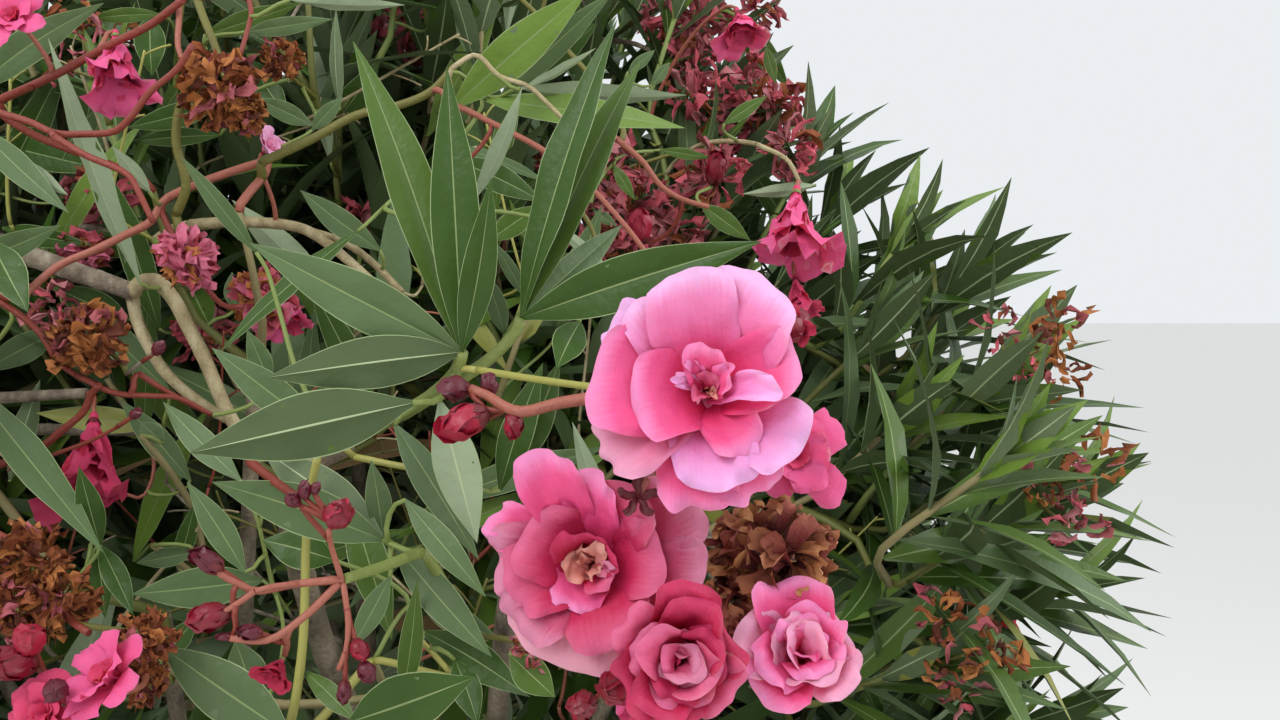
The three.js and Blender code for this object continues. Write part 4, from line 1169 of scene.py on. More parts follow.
# Each petal: turn, length and width in millimetres, first and last lean, cup, ruffle, roll,
# crumple, look
UPPER_BLOOM = [
    (140, 45, 28, 45, 88, 0.3, 0.04, 30, 0.01, H_LILAC),
    (98, 48, 36, 34, 68, 0.4, 0.035, 20, 0.01, H_RIM),
    (120, 44, 32, 36, 76, 0.4, 0.035, 20, 0.01, H_RIM),
    (60, 46, 44, 38, 74, 0.5, 0.035, 30, 0.01, H_RIM),
    (12, 38, 34, 36, 74, 0.9, 0.025, 30, 0.008, H_PINK),
    (350, 37, 15, 22, 52, 1.3, 0.04, 30, 0.016, H_LILAC),
    (174, 44, 46, 40, 82, 0.5, 0.035, 15, 0.01, H_PINK),
    (192, 32, 38, 26, 68, 0.7, 0.025, 30, 0.012, H_PINK),
    (214, 46, 30, 50, 92, 0.6, 0.035, 60, 0.008, H_PALE),
    (276, 37, 34, 50, 84, 0.4, 0.075, 20, 0.01, H_LILAC),
    (322, 40, 32, 52, 88, 0.5, 0.06, 10, 0.012, H_LILAC),
    (300, 29, 24, 42, 72, 0.9, 0.05, 40, 0.012, H_PINK),
    (264, 41, 34, 62, 104, 0.5, 0.05, 30, 0.01, H_PINK),
    (296, 40, 30, 64, 104, 0.5, 0.05, 30, 0.01, H_PINK),
    (80, 27, 20, 12, 34, 0.8, 0.04, 10, 0.02, H_PINK),
    (128, 24, 9, 10, 34, 1, 0.05, 10, 0.03, H_PINK),
    (16, 24, 13, 10, 32, 1, 0.05, 10, 0.03, H_PINK),
    (166, 23, 7, 12, 40, 1, 0.06, 20, 0.03, H_LILAC),
    (60, 18, 12, 6, 18, 1.2, 0.05, 10, 0.03, H_ROSE_SHADE),
    (250, 17, 11, 4, 20, 1.2, 0.05, 10, 0.03, H_ROSE_SHADE),
    (225, 16, 4, 6, 30, 1.2, 0.05, 20, 0.03, H_PALE),
    (310, 16, 5, 4, 20, 1.2, 0.05, 20, 0.03, H_CREAM),
    (30, 14, 4, 4, 16, 1.4, 0.05, 40, 0.03, H_CREAM),
]
# The left bloom stands in shadow: its rose and dusk petals carry painted shade.
LEFT_BLOOM = [
    (110, 53, 27, 38, 66, 0.6, 0.03, 30, 0.01, H_PINK),
    (84, 40, 26, 34, 68, 0.5, 0.04, 20, 0.012, H_PINK),
    (58, 38, 34, 36, 74, 0.5, 0.03, 20, 0.01, H_ROSE_SHADE),
    (156, 44, 24, 44, 86, 0.6, 0.04, 50, 0.012, H_PINK),
    (180, 40, 34, 42, 84, 0.5, 0.045, 30, 0.012, H_DUSK_SHADE),
    (150, 34, 36, 26, 66, 0.6, 0.035, 20, 0.012, H_ROSE_SHADE),
    (196, 36, 32, 34, 76, 0.6, 0.04, 20, 0.012, H_ROSE_SHADE),
    (10, 33, 36, 36, 70, 0.7, 0.03, 40, 0.01, H_ROSE_SHADE),
    (34, 45, 36, 55, 98, 0.4, 0.03, 20, 0.01, H_DUSK_SHADE),
    (352, 43, 34, 55, 98, 0.4, 0.03, 20, 0.01, H_DUSK_SHADE),
    (250, 39, 56, 56, 90, 0.3, 0.03, 10, 0.006, H_BLUSH),
    (222, 38, 32, 44, 80, 0.5, 0.04, 20, 0.01, H_DUSK_SHADE),
    (296, 36, 36, 36, 72, 0.4, 0.035, 20, 0.008, H_ROSE_SHADE),
    (244, 24, 26, 28, 62, 0.6, 0.06, 30, 0.014, H_PINK),
    # Painted shade: these deep crimson petals darken the left bloom's cupped middle.
    (100, 26, 26, 12, 40, 0.9, 0.04, 10, 0.02, H_CRIMSON_SHADE),
    (40, 24, 22, 12, 40, 0.9, 0.04, 10, 0.02, H_CRIMSON_SHADE),
    (330, 22, 20, 10, 44, 0.9, 0.04, 10, 0.02, H_ROSE_SHADE),
    (66, 23, 14, 4, 34, 0.9, 0.06, 10, 0.035, H_CREAM),
    (196, 20, 15, 8, 40, 0.9, 0.06, 10, 0.035, H_CREAM),
    (318, 19, 10, 2, 26, 1.2, 0.06, 10, 0.035, H_CREAM),
    (120, 18, 8, 2, 18, 1.5, 0.06, 10, 0.035, H_CREAM),
    (0, 24, 9, 8, 42, 1.2, 0.06, 20, 0.04, H_DUSK_SHADE),
]


def uneven_ring(seed, count, start, long, wide, lean_in, lean_out, cup, roll, looks):
    """A ring of petals of which no two are the same."""
    made = []
    for i in range(count):
        a, b, c, d = (chance(seed, i + 13 * k) for k in range(4))
        made.append((
            start + 360 * (i + 0.6 * (a - 0.5)) / count, long * (0.85 + 0.3 * b),
            wide * (0.8 + 0.4 * c), lean_in + 16 * (d - 0.5), lean_out + 24 * (b - 0.5),
            cup * (0.7 + 0.6 * c), 0.035 + 0.02 * a, roll * (0.3 + 1.2 * d), 0.018,
            looks[i % len(looks)],
        ))
    return made


# The lower bloom's deep crimson petals paint the shade between its folded rings.
LOWER_BLOOM = [
    *uneven_ring(3, 6, 20, 28, 30, 40, 56, 0.8, 60, (H_CRIMSON_SHADE, H_CRIMSON_SHADE, H_ROSE_SHADE)),
    *uneven_ring(5, 5, 80, 27, 28, 28, 38, 1.0, 70, (H_CRIMSON_SHADE, H_ROSE_SHADE)),
    *uneven_ring(7, 4, 140, 26, 25, 16, 26, 1.1, 80, (H_ROSE_SHADE, H_CRIMSON_SHADE)),
    *uneven_ring(9, 3, 30, 25, 21, 6, 12, 1.4, 70, (H_DUSK_SHADE, H_ROSE_SHADE)),
    (250, 21, 21, 2, 26, 1.1, 0.03, 60, 0.012, H_DUSK_SHADE),
    (70, 19, 17, 2, 12, 1.4, 0.03, 60, 0.015, H_ROSE_SHADE),
    (255, 20, 19, 14, -34, 1.0, 0.03, 20, 0.015, H_DUSK_SHADE),
    (100, 18, 13, 8, -30, 1.2, 0.04, 20, 0.020, H_ROSE_SHADE),
    (10, 18, 10, 8, -20, 1.2, 0.04, 30, 0.020, H_CRIMSON_SHADE),
]
RIGHT_BLOOM = [
    *uneven_ring(11, 5, 20, 31, 33, 30, 60, 0.8, 60, (H_PALE, H_PINK)),
    *uneven_ring(13, 5, 60, 30, 31, 22, 42, 0.9, 60, (H_PINK, H_PALE)),
    *uneven_ring(15, 4, 10, 28, 27, 10, 24, 1.1, 60, (H_PALE, H_PINK)),
    *uneven_ring(17, 3, 50, 24, 20, 4, 12, 1.4, 40, (H_PINK, H_ROSE_SHADE)),
]
# Each dried flap runs from a dark root to a pale tip: partly the dried petals' own browns, partly
# painted shade in the ball's heart and a painted highlight on the tips.
SPENT_LOOKS = [
    graded("dry_" + name, [(0, root), (0.5, middle), (1, tip)], 0.75, 0.25, 600, 0.0006)
    for name, root, middle, tip in (
        ("brown", "461814", "864330", "b07450"), ("red", "400e12", "7c2e2a", "a25a48"),
        ("tan", "6e3622", "a8673c", "ca9260"),
    )
]
# Each large bloom: the middle of its mouth, which way it faces, how deep it is, its petals
FRONT_BLOOMS = {
    "upper": ((0.261, -0.571, 1.143), (-0.10, -0.93, 0.32), 0.016, UPPER_BLOOM),
    "left": ((0.222, -0.554, 1.081), (-0.20, -0.95, 0.12), 0.016, LEFT_BLOOM),
    "lower": ((0.253, -0.584, 1.057), (0.00, -0.95, 0.16), 0.020, LOWER_BLOOM),
    "right": ((0.296, -0.549, 1.050), (0.02, -0.80, 0.55), 0.016, RIGHT_BLOOM),
}
SPENT_FACING = (0.15, -0.9, 0.2)
# The dried bloom: pixel and depth of each of its parts, radius in metres, number of flaps
SPENT_PARTS = [
    (776, 556, 0.405, 0.021, 64), (736, 552, 0.412, 0.014, 32), (742, 604, 0.410, 0.016, 38),
    (786, 600, 0.430, 0.014, 30),
]
# Radii of the stalks of the flower head at both ends
HEAD_STALK = (0.0044, 0.0034)
BLOOM_STALK = (0.0024, 0.0018)
SPENT_STALK = (0.0022, 0.0018)
# The tube behind a large bloom: its span along the bloom's axis, its radii, its sepals
NECK_SPAN = (-0.014, 0.004)
NECK_RADII = (0.0022, 0.0048)
NECK_LENGTH = 0.016
NECK_SEPALS = (0.011, 0.0045, 30, 18, 0.7, 0, 0, 0.01, CALYX_RED)
front_heaps = []


def make_front_blooms():
    """The large blooms and the dried one, on the stalk of the flower head."""
    fork_way = unit(STALK_FORK - STALK_FOOT)
    line = curve(STALK_FOOT, fork_way, STALK_FORK, fork_way, 6, STEP)
    tube(stalks, line, taper(line, *HEAD_STALK), BOUGH_SIDES, S_GREEN)
    for order, (name, (at, axis, depth, shapes)) in enumerate(FRONT_BLOOMS.items()):
        heap = Heap("bloom_head_" + name, "petals", HERO_PETALS, ["bloom_front_" + name])
        axis = unit(axis)
        foot = np.array(at) - axis * depth
        in_metres = [(turn, a / 1000, b / 1000, *rest) for turn, a, b, *rest in shapes]
        add_petals(heap, FINE_PETAL, foot, axis, in_metres)
        neck = foot + np.outer(np.linspace(*NECK_SPAN, 7), axis)
        tube(heap, neck, np.linspace(*NECK_RADII, 7), 14, H_ROSE_SHADE)
        back = foot - axis * NECK_LENGTH
        add_petals(buds, SIMPLE_PETAL, back, axis, even_ring(5, 10, *NECK_SEPALS))
        start, way = along_line(line, 0.98 - 0.06 * order)
        add_stalk(start, lerp(way, axis, 0.3), back, axis, *BLOOM_STALK, S_PINK)
        front_heaps.append(heap)
    heap = Heap("bloom_head_spent", "spent_petals", SPENT_LOOKS, ["bloom_front_spent"])
    axis = unit(SPENT_FACING)
    for number, (px, py, depth, radius, flaps) in enumerate(SPENT_PARTS):
        at = seen(px, py, depth)
        add_ball(heap, CLOSE_PETAL, at, radius, flaps, "hero", 40 + number)
        start, way = along_line(line, 0.68 + 0.05 * number)
        add_stalk(start, way, at - axis * radius * 0.3, axis, *SPENT_STALK, S_WOOD)
    front_heaps.append(heap)


make_front_blooms()

# Stalks: look, thickness in pixels, depth at each end, then x and y of the pixels they pass
SEEN_STALKS = [
    (S_RED, 8, 0.64, 0.6, 0, 100, 55, 75, 110, 45, 150, 25, 183, 0),
    (S_RED, 7, 0.6, 0.57, -10, 110, 30, 122, 55, 133, 85, 134, 115, 131, 130, 118, 150, 92,
     178, 68, 192, 45), (S_RED, 7, 0.58, 0.58, 55, 137, 85, 155, 128, 175, 140, 195, 153, 222),
    (S_PINK, 8, 0.66, 0.6, 262, 162, 230, 172, 195, 185, 165, 200, 150, 222, 125, 235, 95, 250,
     60, 265, 35, 285, 20, 300),
    (S_OLIVE, 9, 0.64, 0.64, 262, 162, 310, 140, 357, 115, 400, 105, 430, 92, 450, 72),
    (S_RED, 7, 0.6, 0.6, -10, 295, 25, 319, 43, 337, 54, 357),
    (S_RED, 8, 0.62, 0.6, -10, 468, 41, 447, 61, 431, 84, 411, 92, 393, 99, 385),
    (S_RED, 6, 0.6, 0.62, 76, 375, 115, 393, 153, 396, 178, 398, 212, 415),
    (S_RED, 6, 0.61, 0.62, 138, 373, 166, 391, 204, 411),
    (S_RED, 9, 0.5, 0.46, 250, 462, 273, 480, 298, 498),
    (S_RED, 8, 0.52, 0.48, -10, 530, 25, 551, 48, 574, 59, 597, 69, 618, 89, 633),
    (S_WOOD, 21, 0.7, 0.695, 16, 251, 70, 270, 112, 284, 134, 292),
    (S_TAN, 15, 0.695, 0.68, 132, 293, 141, 283, 156, 281, 172, 297, 190, 330, 205, 360, 224, 405,
     244, 440, 262, 462),
    (S_TAN, 12, 0.7, 0.69, 132, 295, 137, 320, 148, 345, 165, 372, 190, 395, 215, 412, 250, 430),
    (S_WOOD, 8, 0.78, 0.76, 30, 243, 85, 228, 118, 235),
    (S_TAN, 11, 0.72, 0.7, 190, 225, 240, 222, 300, 228, 325, 242, 350, 262, 375, 285),
    (S_TAN, 8, 0.72, 0.71, 300, 228, 345, 243, 372, 262, 402, 292),
    (S_WOOD, 12, 0.73, 0.72, -12, 399, 87, 393), (S_WOOD, 12, 0.77, 0.76, 15, 429, 145, 431),
    (S_WOOD, 4, 0.61, 0.585, 126, 374, 143, 361, 156, 351),
    (S_RED, 4, 0.61, 0.585, 44, 458, 92, 440, 119, 426, 133, 417),
    (S_RED, 6, 0.64, 0.64, 196, 270, 208, 290, 225, 306, 243, 306),
    (S_YELLOW, 9, 0.52, 0.5, 288, 735, 297, 690, 303, 640, 305, 590, 306, 546, 309, 500, 318, 455),
    (S_PINK, 6, 0.61, 0.6, 179, -12, 179, 20, 178, 46, 186, 66),
    (S_RED, 5, 0.62, 0.6, 249, 0, 251, 15, 240, 56),
    (S_OLIVE, 8, 0.66, 0.62, 194, -10, 203, 16, 212, 38, 220, 60),
    (S_OLIVE, 9, 0.64, 0.61, 176, 215, 186, 185, 176, 140, 183, 100, 205, 88),
    (S_PINK, 6, 0.62, 0.62, 456, 105, 486, 120, 546, 152, 583, 180, 622, 222, 648, 255),
    (S_TAN, 5, 0.6, 0.6, 452, 68, 476, 55, 499, 76, 528, 86, 546, 102, 562, 118),
    (S_PINK, 6, 0.7, 0.7, 617, 139, 643, 162, 661, 186, 682, 199, 709, 207),
    (S_OLIVE, 5, 0.68, 0.68, 570, 199, 590, 225, 604, 275),
    (S_TAN, 5, 0.8, 0.8, 756, 144, 787, 160, 800, 183), (S_WOOD, 5, 0.95, 0.95, 400, 31, 478, 47),
    (S_WOOD, 5, 0.95, 0.95, 570, 39, 635, 44, 664, 60),
    (S_YELLOW, 7, 0.54, 0.52, 489, 672, 470, 640, 444, 585),
    (S_YELLOW, 6, 0.52, 0.52, 452, 674, 416, 635),
    (S_YELLOW, 7, 0.5, 0.4, 478, 370, 540, 380, 600, 388, 640, 392),
    (S_YELLOW, 7, 0.53, 0.52, 355, 457, 400, 466, 444, 472),
    (S_PINK, 12, 0.42, 0.44, 594, 398, 560, 403, 520, 412, 500, 404, 488, 396, 471, 389),
    (S_RED, 6, 0.43, 0.44, 512, 408, 500, 412, 489, 418),
    (S_GREEN, 11, 0.5, 0.43, 420, 552, 384, 566, 344, 579),
    (S_PINK, 8, 0.43, 0.42, 344, 579, 295, 584, 255, 591, 238, 583, 222, 575, 204, 558),
    (S_PINK, 6, 0.42, 0.42, 255, 591, 235, 605, 217, 616),
    (S_PINK, 8, 0.43, 0.42, 339, 583, 306, 615, 268, 640, 230, 638),
    (S_PINK, 6, 0.43, 0.41, 342, 580, 331, 545, 329, 530),
    (S_RED, 6, 0.42, 0.41, 330, 540, 306, 513, 296, 498),
    (S_PINK, 6, 0.43, 0.43, 343, 583, 348, 620, 346, 650, 338, 670),
]
# Flowers: kind, pixel, depth, radius in pixels, which way they face, and for some a shade for all
# petals
SEEN_FLOWERS = [
    ("spent", 218, 88, 0.6, 46, (0, -0.8, 0.5)), ("spent", 238, 108, 0.61, 30, (0.4, -0.8, -0.2)),
    ("spent", 90, 340, 0.595, 42, (0.1, -0.9, 0.2)), ("spent", 28, 560, 0.5, 46, (0, -0.9, 0.3)),
    ("spent", 60, 600, 0.49, 40, (0.3, -0.8, 0.2)), ("spent", 12, 610, 0.48, 38, (-0.3, -0.8, 0.1)),
    ("spent", 144, 640, 0.48, 34, (0.3, -0.9, 0.1)),
    ("spent", 142, 680, 0.485, 30, (0.2, -0.9, -0.3)),
    ("spent", 280, 58, 0.7, 24, (0.2, -0.9, 0.2)), ("faded", 187, 258, 0.62, 32, (0.1, -0.9, -0.3)),
    ("wine", 100, 195, 0.76, 34, (0.1, -0.9, -0.2)),
    ("faded", 84, 252, 0.735, 24, (0.1, -0.9, -0.2)),
    ("bell", 117, 72, 0.62, 46, (0.22, -0.45, -0.85)), ("open", 10, 12, 0.6, 34, (0, -0.9, 0.3)),
    ("cup", 270, 146, 0.68, 20, (0.7, -0.5, 0.4), PALE),
    ("wine", 55, 305, 0.7, 26, (0.1, -0.9, 0.1)), ("faded", 262, 298, 0.69, 32, (0.3, -0.85, 0.1)),
    ("bell", 290, 318, 0.7, 28, (0.3, -0.45, -0.8)),
    ("wine", 200, 330, 0.76, 30, (0.1, -0.9, -0.2)),
    ("bell", 92, 474, 0.655, 64, (0.26, -0.62, -0.74), ROSE),
    ("open", 100, 672, 0.44, 50, (-0.5, -0.6, 0.62)),
    ("open", 40, 712, 0.44, 40, (-0.1, -0.9, 0.3), ROSE),
    ("cup", 275, 672, 0.43, 26, (-0.2, -0.7, -0.5), DEEP),
    ("cup", 741, 30, 0.8, 34, (0.12, -0.4, -0.9)),
    ("bell", 792, 238, 0.7, 60, (-0.15, -0.6, -0.78)),
    ("bell", 800, 305, 0.7, 30, (0.1, -0.5, -0.85), ROSE),
    ("wilted", 795, 330, 0.6, 24, (0.1, -0.9, -0.2), DEEP),
    ("open", 800, 455, 0.42, 50, (0.2, -0.9, 0.1)), ("cup", 645, 712, 0.372, 38, (0, -0.95, 0)),
    ("wine", 610, 170, 0.8, 34, (0.1, -0.9, 0)), ("wine", 585, 215, 0.8, 34, (-0.1, -0.9, 0.2)),
    ("wine", 640, 205, 0.84, 36, (0.2, -0.9, -0.1)),
    ("wine", 625, 245, 0.8, 30, (0, -0.9, 0.1), MAUVE),
    ("wine", 670, 235, 0.86, 34, (0.1, -0.9, 0.1)), ("wine", 690, 25, 0.92, 36, (0.1, -0.9, 0.2)),
    ("wine", 665, 15, 0.94, 32, (-0.2, -0.9, 0.1)), ("wine", 700, 100, 0.9, 36, (0.1, -0.9, -0.1)),
    ("wine", 690, 65, 0.95, 30, (0.1, -0.9, 0.1), RUST),
    ("wine", 755, 85, 0.9, 30, (0.1, -0.9, 0.2)), ("wine", 775, 110, 0.92, 34, (0.1, -0.9, -0.1)),
    ("wine", 745, 125, 0.95, 30, (0, -0.9, 0.1), MAUVE),
    ("wine", 712, 178, 0.84, 36, (0.1, -0.9, 0)), ("wine", 790, 150, 0.88, 30, (0.2, -0.9, 0)),
    ("wine", 400, 20, 0.9, 34, (0, -0.9, 0.1)), ("wine", 425, 45, 0.92, 28, (0, -0.9, 0.1)),
    ("wine", 560, 165, 0.86, 28, (0, -0.9, 0.1)), ("wilted", 500, 212, 0.84, 18, (0, -0.9, 0.1)),
    ("wine", 365, 225, 0.86, 26, (0, -0.9, 0.1)), ("wine", 755, 10, 0.95, 28, (0, -0.9, 0.1)),
    ("wine", 530, 650, 0.5, 20, (0, -0.9, 0.1)),
]
# Buds: pixel of the middle, depth, radius and length in pixels, which way they point, look
SEEN_BUDS = [
    (455, 389, 0.44, 13, 30, (-0.8, -0.4, 0.1), BUD_PURPLE),
    (463, 422, 0.43, 18, 48, (-0.85, -0.35, -0.35), BUD_MAGENTA),
    (489, 384, 0.44, 9, 22, (-0.2, -0.4, 0.8), BUD_PURPLE),
    (514, 425, 0.43, 10, 28, (0, -0.5, -0.8), BUD_RED),
    (206, 560, 0.42, 11, 34, (-0.7, -0.3, 0.6), BUD_PURPLE),
    (210, 617, 0.42, 14, 36, (-0.9, -0.4, -0.1), BUD_RED),
    (339, 514, 0.41, 15, 34, (0.4, -0.5, 0.5), BUD_RED),
    (305, 490, 0.41, 7, 18, (0.2, -0.4, 0.8), BUD_PURPLE),
    (293, 500, 0.41, 7, 16, (-0.4, -0.4, 0.5), BUD_PURPLE),
    (316, 488, 0.41, 5, 13, (0.4, -0.4, 0.8), BUD_PURPLE),
    (360, 650, 0.43, 9, 22, (0.5, -0.4, -0.6), BUD_RED),
    (367, 672, 0.43, 9, 20, (0.4, -0.4, -0.7), BUD_PURPLE),
    (344, 692, 0.43, 7, 20, (0, -0.4, -0.8), BUD_PURPLE),
    (250, 632, 0.42, 8, 22, (-0.6, -0.4, 0.2), BUD_PURPLE),
    (224, 637, 0.42, 4, 15, (-0.9, -0.4, 0.1), BUD_PURPLE),
    (617, 687, 0.37, 18, 46, (-0.5, -0.8, 0.1), BUD_RED),
    (583, 705, 0.38, 14, 32, (-0.4, -0.8, 0), BUD_RED),
    (13, 663, 0.44, 18, 44, (-0.4, -0.7, 0.3), BUD_RED),
    (30, 640, 0.44, 15, 38, (0.2, -0.7, 0.6), BUD_MAGENTA),
    (56, 691, 0.43, 12, 28, (0.2, -0.7, 0.2), BUD_PURPLE),
    (405, 170, 0.62, 6, 16, (-0.3, -0.4, 0.8), BUD_MAGENTA),
    (159, 348, 0.585, 6, 18, (0.6, -0.4, 0.5), BUD_PURPLE),
    (136, 414, 0.585, 5, 14, (0.7, -0.4, 0.4), BUD_PURPLE),
    (795, 325, 0.6, 14, 40, (-0.3, -0.6, -0.4), BUD_RED),
    (640, 225, 0.72, 12, 36, (-0.1, -0.6, 0.8), BUD_MAGENTA),
    (716, 168, 0.8, 10, 34, (0.1, -0.5, 0.8), BUD_RED),
]
# Leaves: pixel and depth of the root, then of the tip, seen width in millimetres, look. One with
# the look of a lower side shows that side
SEEN_LEAVES = [
    (-25, 90, 0.7, 104, 3, 0.64, 20, GREY), (140, 283, 0.67, 48, 38, 0.65, 14, BACK_PALE),
    (-20, 130, 0.72, 69, 213, 0.68, 18, GREY), (15, 160, 0.72, 68, 195, 0.69, 12, BACK_PALE),
    (3, 228, 0.74, 92, 245, 0.72, 14, DARK), (-30, 262, 0.66, 61, 225, 0.62, 16, GREY),
    (-10, 240, 0.6, 28, 312, 0.58, 20, DARK), (160, 14, 0.74, 87, 19, 0.73, 10, MID),
    (150, 15, 0.74, 152, 76, 0.74, 20, DARK), (218, 105, 0.73, 127, 128, 0.72, 16, DARK),
    (220, 135, 0.74, 130, 142, 0.73, 12, DARK), (150, 192, 0.62, 112, 146, 0.6, 9, BACK_PALE),
    (256, 252, 0.53, 181, 156, 0.5, 9, GREY), (358, 231, 0.59, 220, 352, 0.58, 10, DARK),
    (312, 125, 0.72, 253, 98, 0.7, 13, GREY), (312, 130, 0.68, 343, 97, 0.68, 10, GREY),
    (340, 108, 0.74, 336, 8, 0.73, 9, BACK_MID), (205, 35, 0.7, 302, 2, 0.68, 14, MID),
    (245, 32, 0.68, 333, 19, 0.66, 11, GREY), (290, 0, 0.6, 405, 5, 0.6, 8, BACK_PALE),
    (235, 310, 0.73, 232, 272, 0.73, 12, GREY), (130, 320, 0.72, 50, 285, 0.7, 20, DARK),
    (-30, 385, 0.61, 103, 552, 0.575, 20, GREY), (100, 545, 0.6, 79, 467, 0.58, 14, DARK),
    (95, 540, 0.61, 105, 618, 0.61, 13, DARK), (100, 545, 0.61, 133, 615, 0.59, 13, DARK),
    (160, 425, 0.74, 36, 413, 0.73, 18, YELLOW), (262, 580, 0.6, 132, 594, 0.57, 22, GREY),
    (195, 552, 0.66, 136, 563, 0.66, 12, GREY), (240, 480, 0.58, 163, 402, 0.6, 15, GREY),
    (245, 572, 0.58, 187, 482, 0.58, 15, GREY), (178, 566, 0.7, 195, 503, 0.7, 12, DARK),
    (383, 540, 0.5, 212, 482, 0.47, 22, GREY), (383, 540, 0.5, 262, 450, 0.53, 22, BACK_MID),
    (383, 538, 0.51, 371, 460, 0.5, 12, GREY), (390, 577, 0.5, 350, 650, 0.5, 11, GREY),
    (290, 735, 0.5, 160, 645, 0.5, 25, GREY), (165, 655, 0.58, 196, 617, 0.58, 12, DARK),
    (355, 720, 0.5, 303, 670, 0.52, 10, MID), (350, 722, 0.47, 475, 677, 0.45, 25, DARK),
    (255, 700, 0.62, 235, 640, 0.62, 22, GREY), (322, 432, 0.61, 212, 348, 0.6, 20, GREY),
    (163, 443, 0.66, 140, 422, 0.66, 12, GREY), (452, 108, 0.62, 590, -12, 0.6, 24, YOUNG),
    (500, 98, 0.66, 615, -10, 0.62, 16, GREY), (520, 90, 0.6, 596, 48, 0.6, 5, BACK_PALE),
    (520, 88, 0.64, 687, 95, 0.62, 13, BACK_PALE), (485, 100, 0.66, 685, 128, 0.6, 18, YOUNG),
    (474, 200, 0.56, 522, 88, 0.54, 9, BACK_PALE), (455, 160, 0.66, 545, 203, 0.62, 17, DARK),
    (460, 145, 0.66, 548, 182, 0.64, 8, GREY), (490, 240, 0.62, 540, 205, 0.62, 14, MID),
    (555, 225, 0.56, 608, 268, 0.55, 6, BACK_PALE), (505, 335, 0.53, 484, 270, 0.52, 10, GREY),
    (525, 297, 0.53, 492, 240, 0.53, 7, GREY), (724, 124, 0.78, 767, 96, 0.78, 10, MID),
    (815, 185, 0.75, 742, 194, 0.72, 9, BACK_PALE), (701, 204, 0.76, 750, 240, 0.76, 14, MID),
    (660, 150, 0.8, 712, 158, 0.8, 8, MID), (614, 165, 0.78, 635, 200, 0.78, 9, MID),
    (593, 209, 0.78, 617, 227, 0.78, 8, GREY), (766, 47, 0.82, 776, 84, 0.82, 9, MID),
    (628, 72, 0.84, 655, 50, 0.84, 9, GREY), (652, 86, 0.84, 670, 62, 0.84, 9, GREY),
    (500, 490, 0.53, 543, 363, 0.5, 16, DARK), (515, 470, 0.54, 560, 360, 0.51, 16, DARK),
    (440, 402, 0.5, 477, 543, 0.5, 21, BACK_PALE), (395, 425, 0.52, 479, 560, 0.5, 16, GREY),
    (405, 500, 0.49, 486, 597, 0.48, 13, GREY), (402, 700, 0.52, 417, 580, 0.5, 11, MID),
    (395, 545, 0.52, 492, 657, 0.5, 17, GREY), (425, 632, 0.54, 530, 697, 0.5, 18, DARK),
    (455, 660, 0.52, 478, 725, 0.5, 14, DARK), (510, 655, 0.5, 555, 697, 0.5, 16, MID),
    (580, 322, 0.52, 557, 368, 0.5, 16, DARK), (420, 600, 0.56, 500, 640, 0.54, 14, GREY),
    (70, -12, 0.8, 146, 44, 0.79, 22, DARK), (96, 50, 0.81, 158, -14, 0.8, 22, DARK),
    (-20, 50, 0.8, 110, 100, 0.78, 22, DARK), (0, 190, 0.8, 66, 60, 0.78, 22, DARK),
    (60, 200, 0.8, 122, 84, 0.78, 22, GREY), (-16, 140, 0.8, 116, 172, 0.78, 22, DARK),
    (30, 50, 0.82, 20, 196, 0.8, 22, DARK), (96, 60, 0.82, 70, 196, 0.8, 22, MID),
    (10, 40, 0.83, 60, 150, 0.82, 22, DARK), (120, 20, 0.82, 60, 90, 0.8, 20, DARK),
    (250, 60, 0.8, 290, 120, 0.78, 20, DARK), (330, 130, 0.82, 380, 60, 0.8, 20, DARK),
    (520, 90, 0.9, 600, 20, 0.88, 20, DARK), (600, 110, 0.92, 556, 6, 0.9, 22, DARK),
    (610, 90, 1, 700, 20, 0.98, 22, DARK), (690, 110, 1.02, 640, 6, 1, 22, DARK),
    (640, 150, 1, 760, 100, 0.98, 22, DARK), (700, 180, 1, 770, 40, 1, 22, MID),
    (780, 160, 1.02, 700, 60, 1, 22, DARK), (720, 230, 0.98, 790, 130, 0.96, 22, DARK),
    (800, 240, 0.98, 740, 150, 0.96, 20, DARK), (620, 250, 0.96, 700, 170, 0.94, 22, DARK),
    (760, 60, 1.04, 690, -20, 1.02, 22, DARK), (740, 20, 1.04, 790, 90, 1.02, 20, MID),
    (168, 390, 0.735, 58, 280, 0.72, 21, GREY), (270, 384, 0.64, 247, 330, 0.63, 13, GREY),
    (60, 330, 0.76, -20, 372, 0.75, 20, GREY), (10, 480, 0.74, 40, 380, 0.73, 16, BACK_MID),
    (190, 480, 0.74, 120, 400, 0.73, 18, GREY), (150, 250, 0.76, 60, 238, 0.75, 18, MID),
    (380, 250, 0.7, 300, 190, 0.69, 17, GREY), (330, 290, 0.74, 232, 200, 0.73, 20, BACK_PALE),
    (20, 70, 0.9, 100, 20, 0.88, 22, DARK), (40, -10, 0.9, 110, 12, 0.88, 22, MID),
    (120, 20, 0.9, 190, 0, 0.88, 22, MID), (170, 50, 0.92, 230, 0, 0.9, 22, DARK),
    (-30, 120, 0.92, 50, 150, 0.9, 22, DARK), (350, -5, 0.95, 415, 45, 0.93, 24, DARK),
    (340, 110, 0.95, 385, 145, 0.93, 22, MID), (290, 140, 0.95, 335, 185, 0.93, 22, DARK),
    (215, 290, 0.92, 265, 255, 0.9, 22, DARK), (335, 560, 0.56, 262, 540, 0.56, 20, DARK),
    (350, 500, 0.58, 392, 640, 0.56, 20, MID),
]
# The two front tips, and a leaf between them that has its own stalk: pixel and depth
NODE_LEFT = (462, 352, 0.502)
NODE_RIGHT = (521, 318, 0.508)
LONE_LEAF = (413, 403, 0.478, 190, 453, 0.428, 29, BACK_DARK, 1)
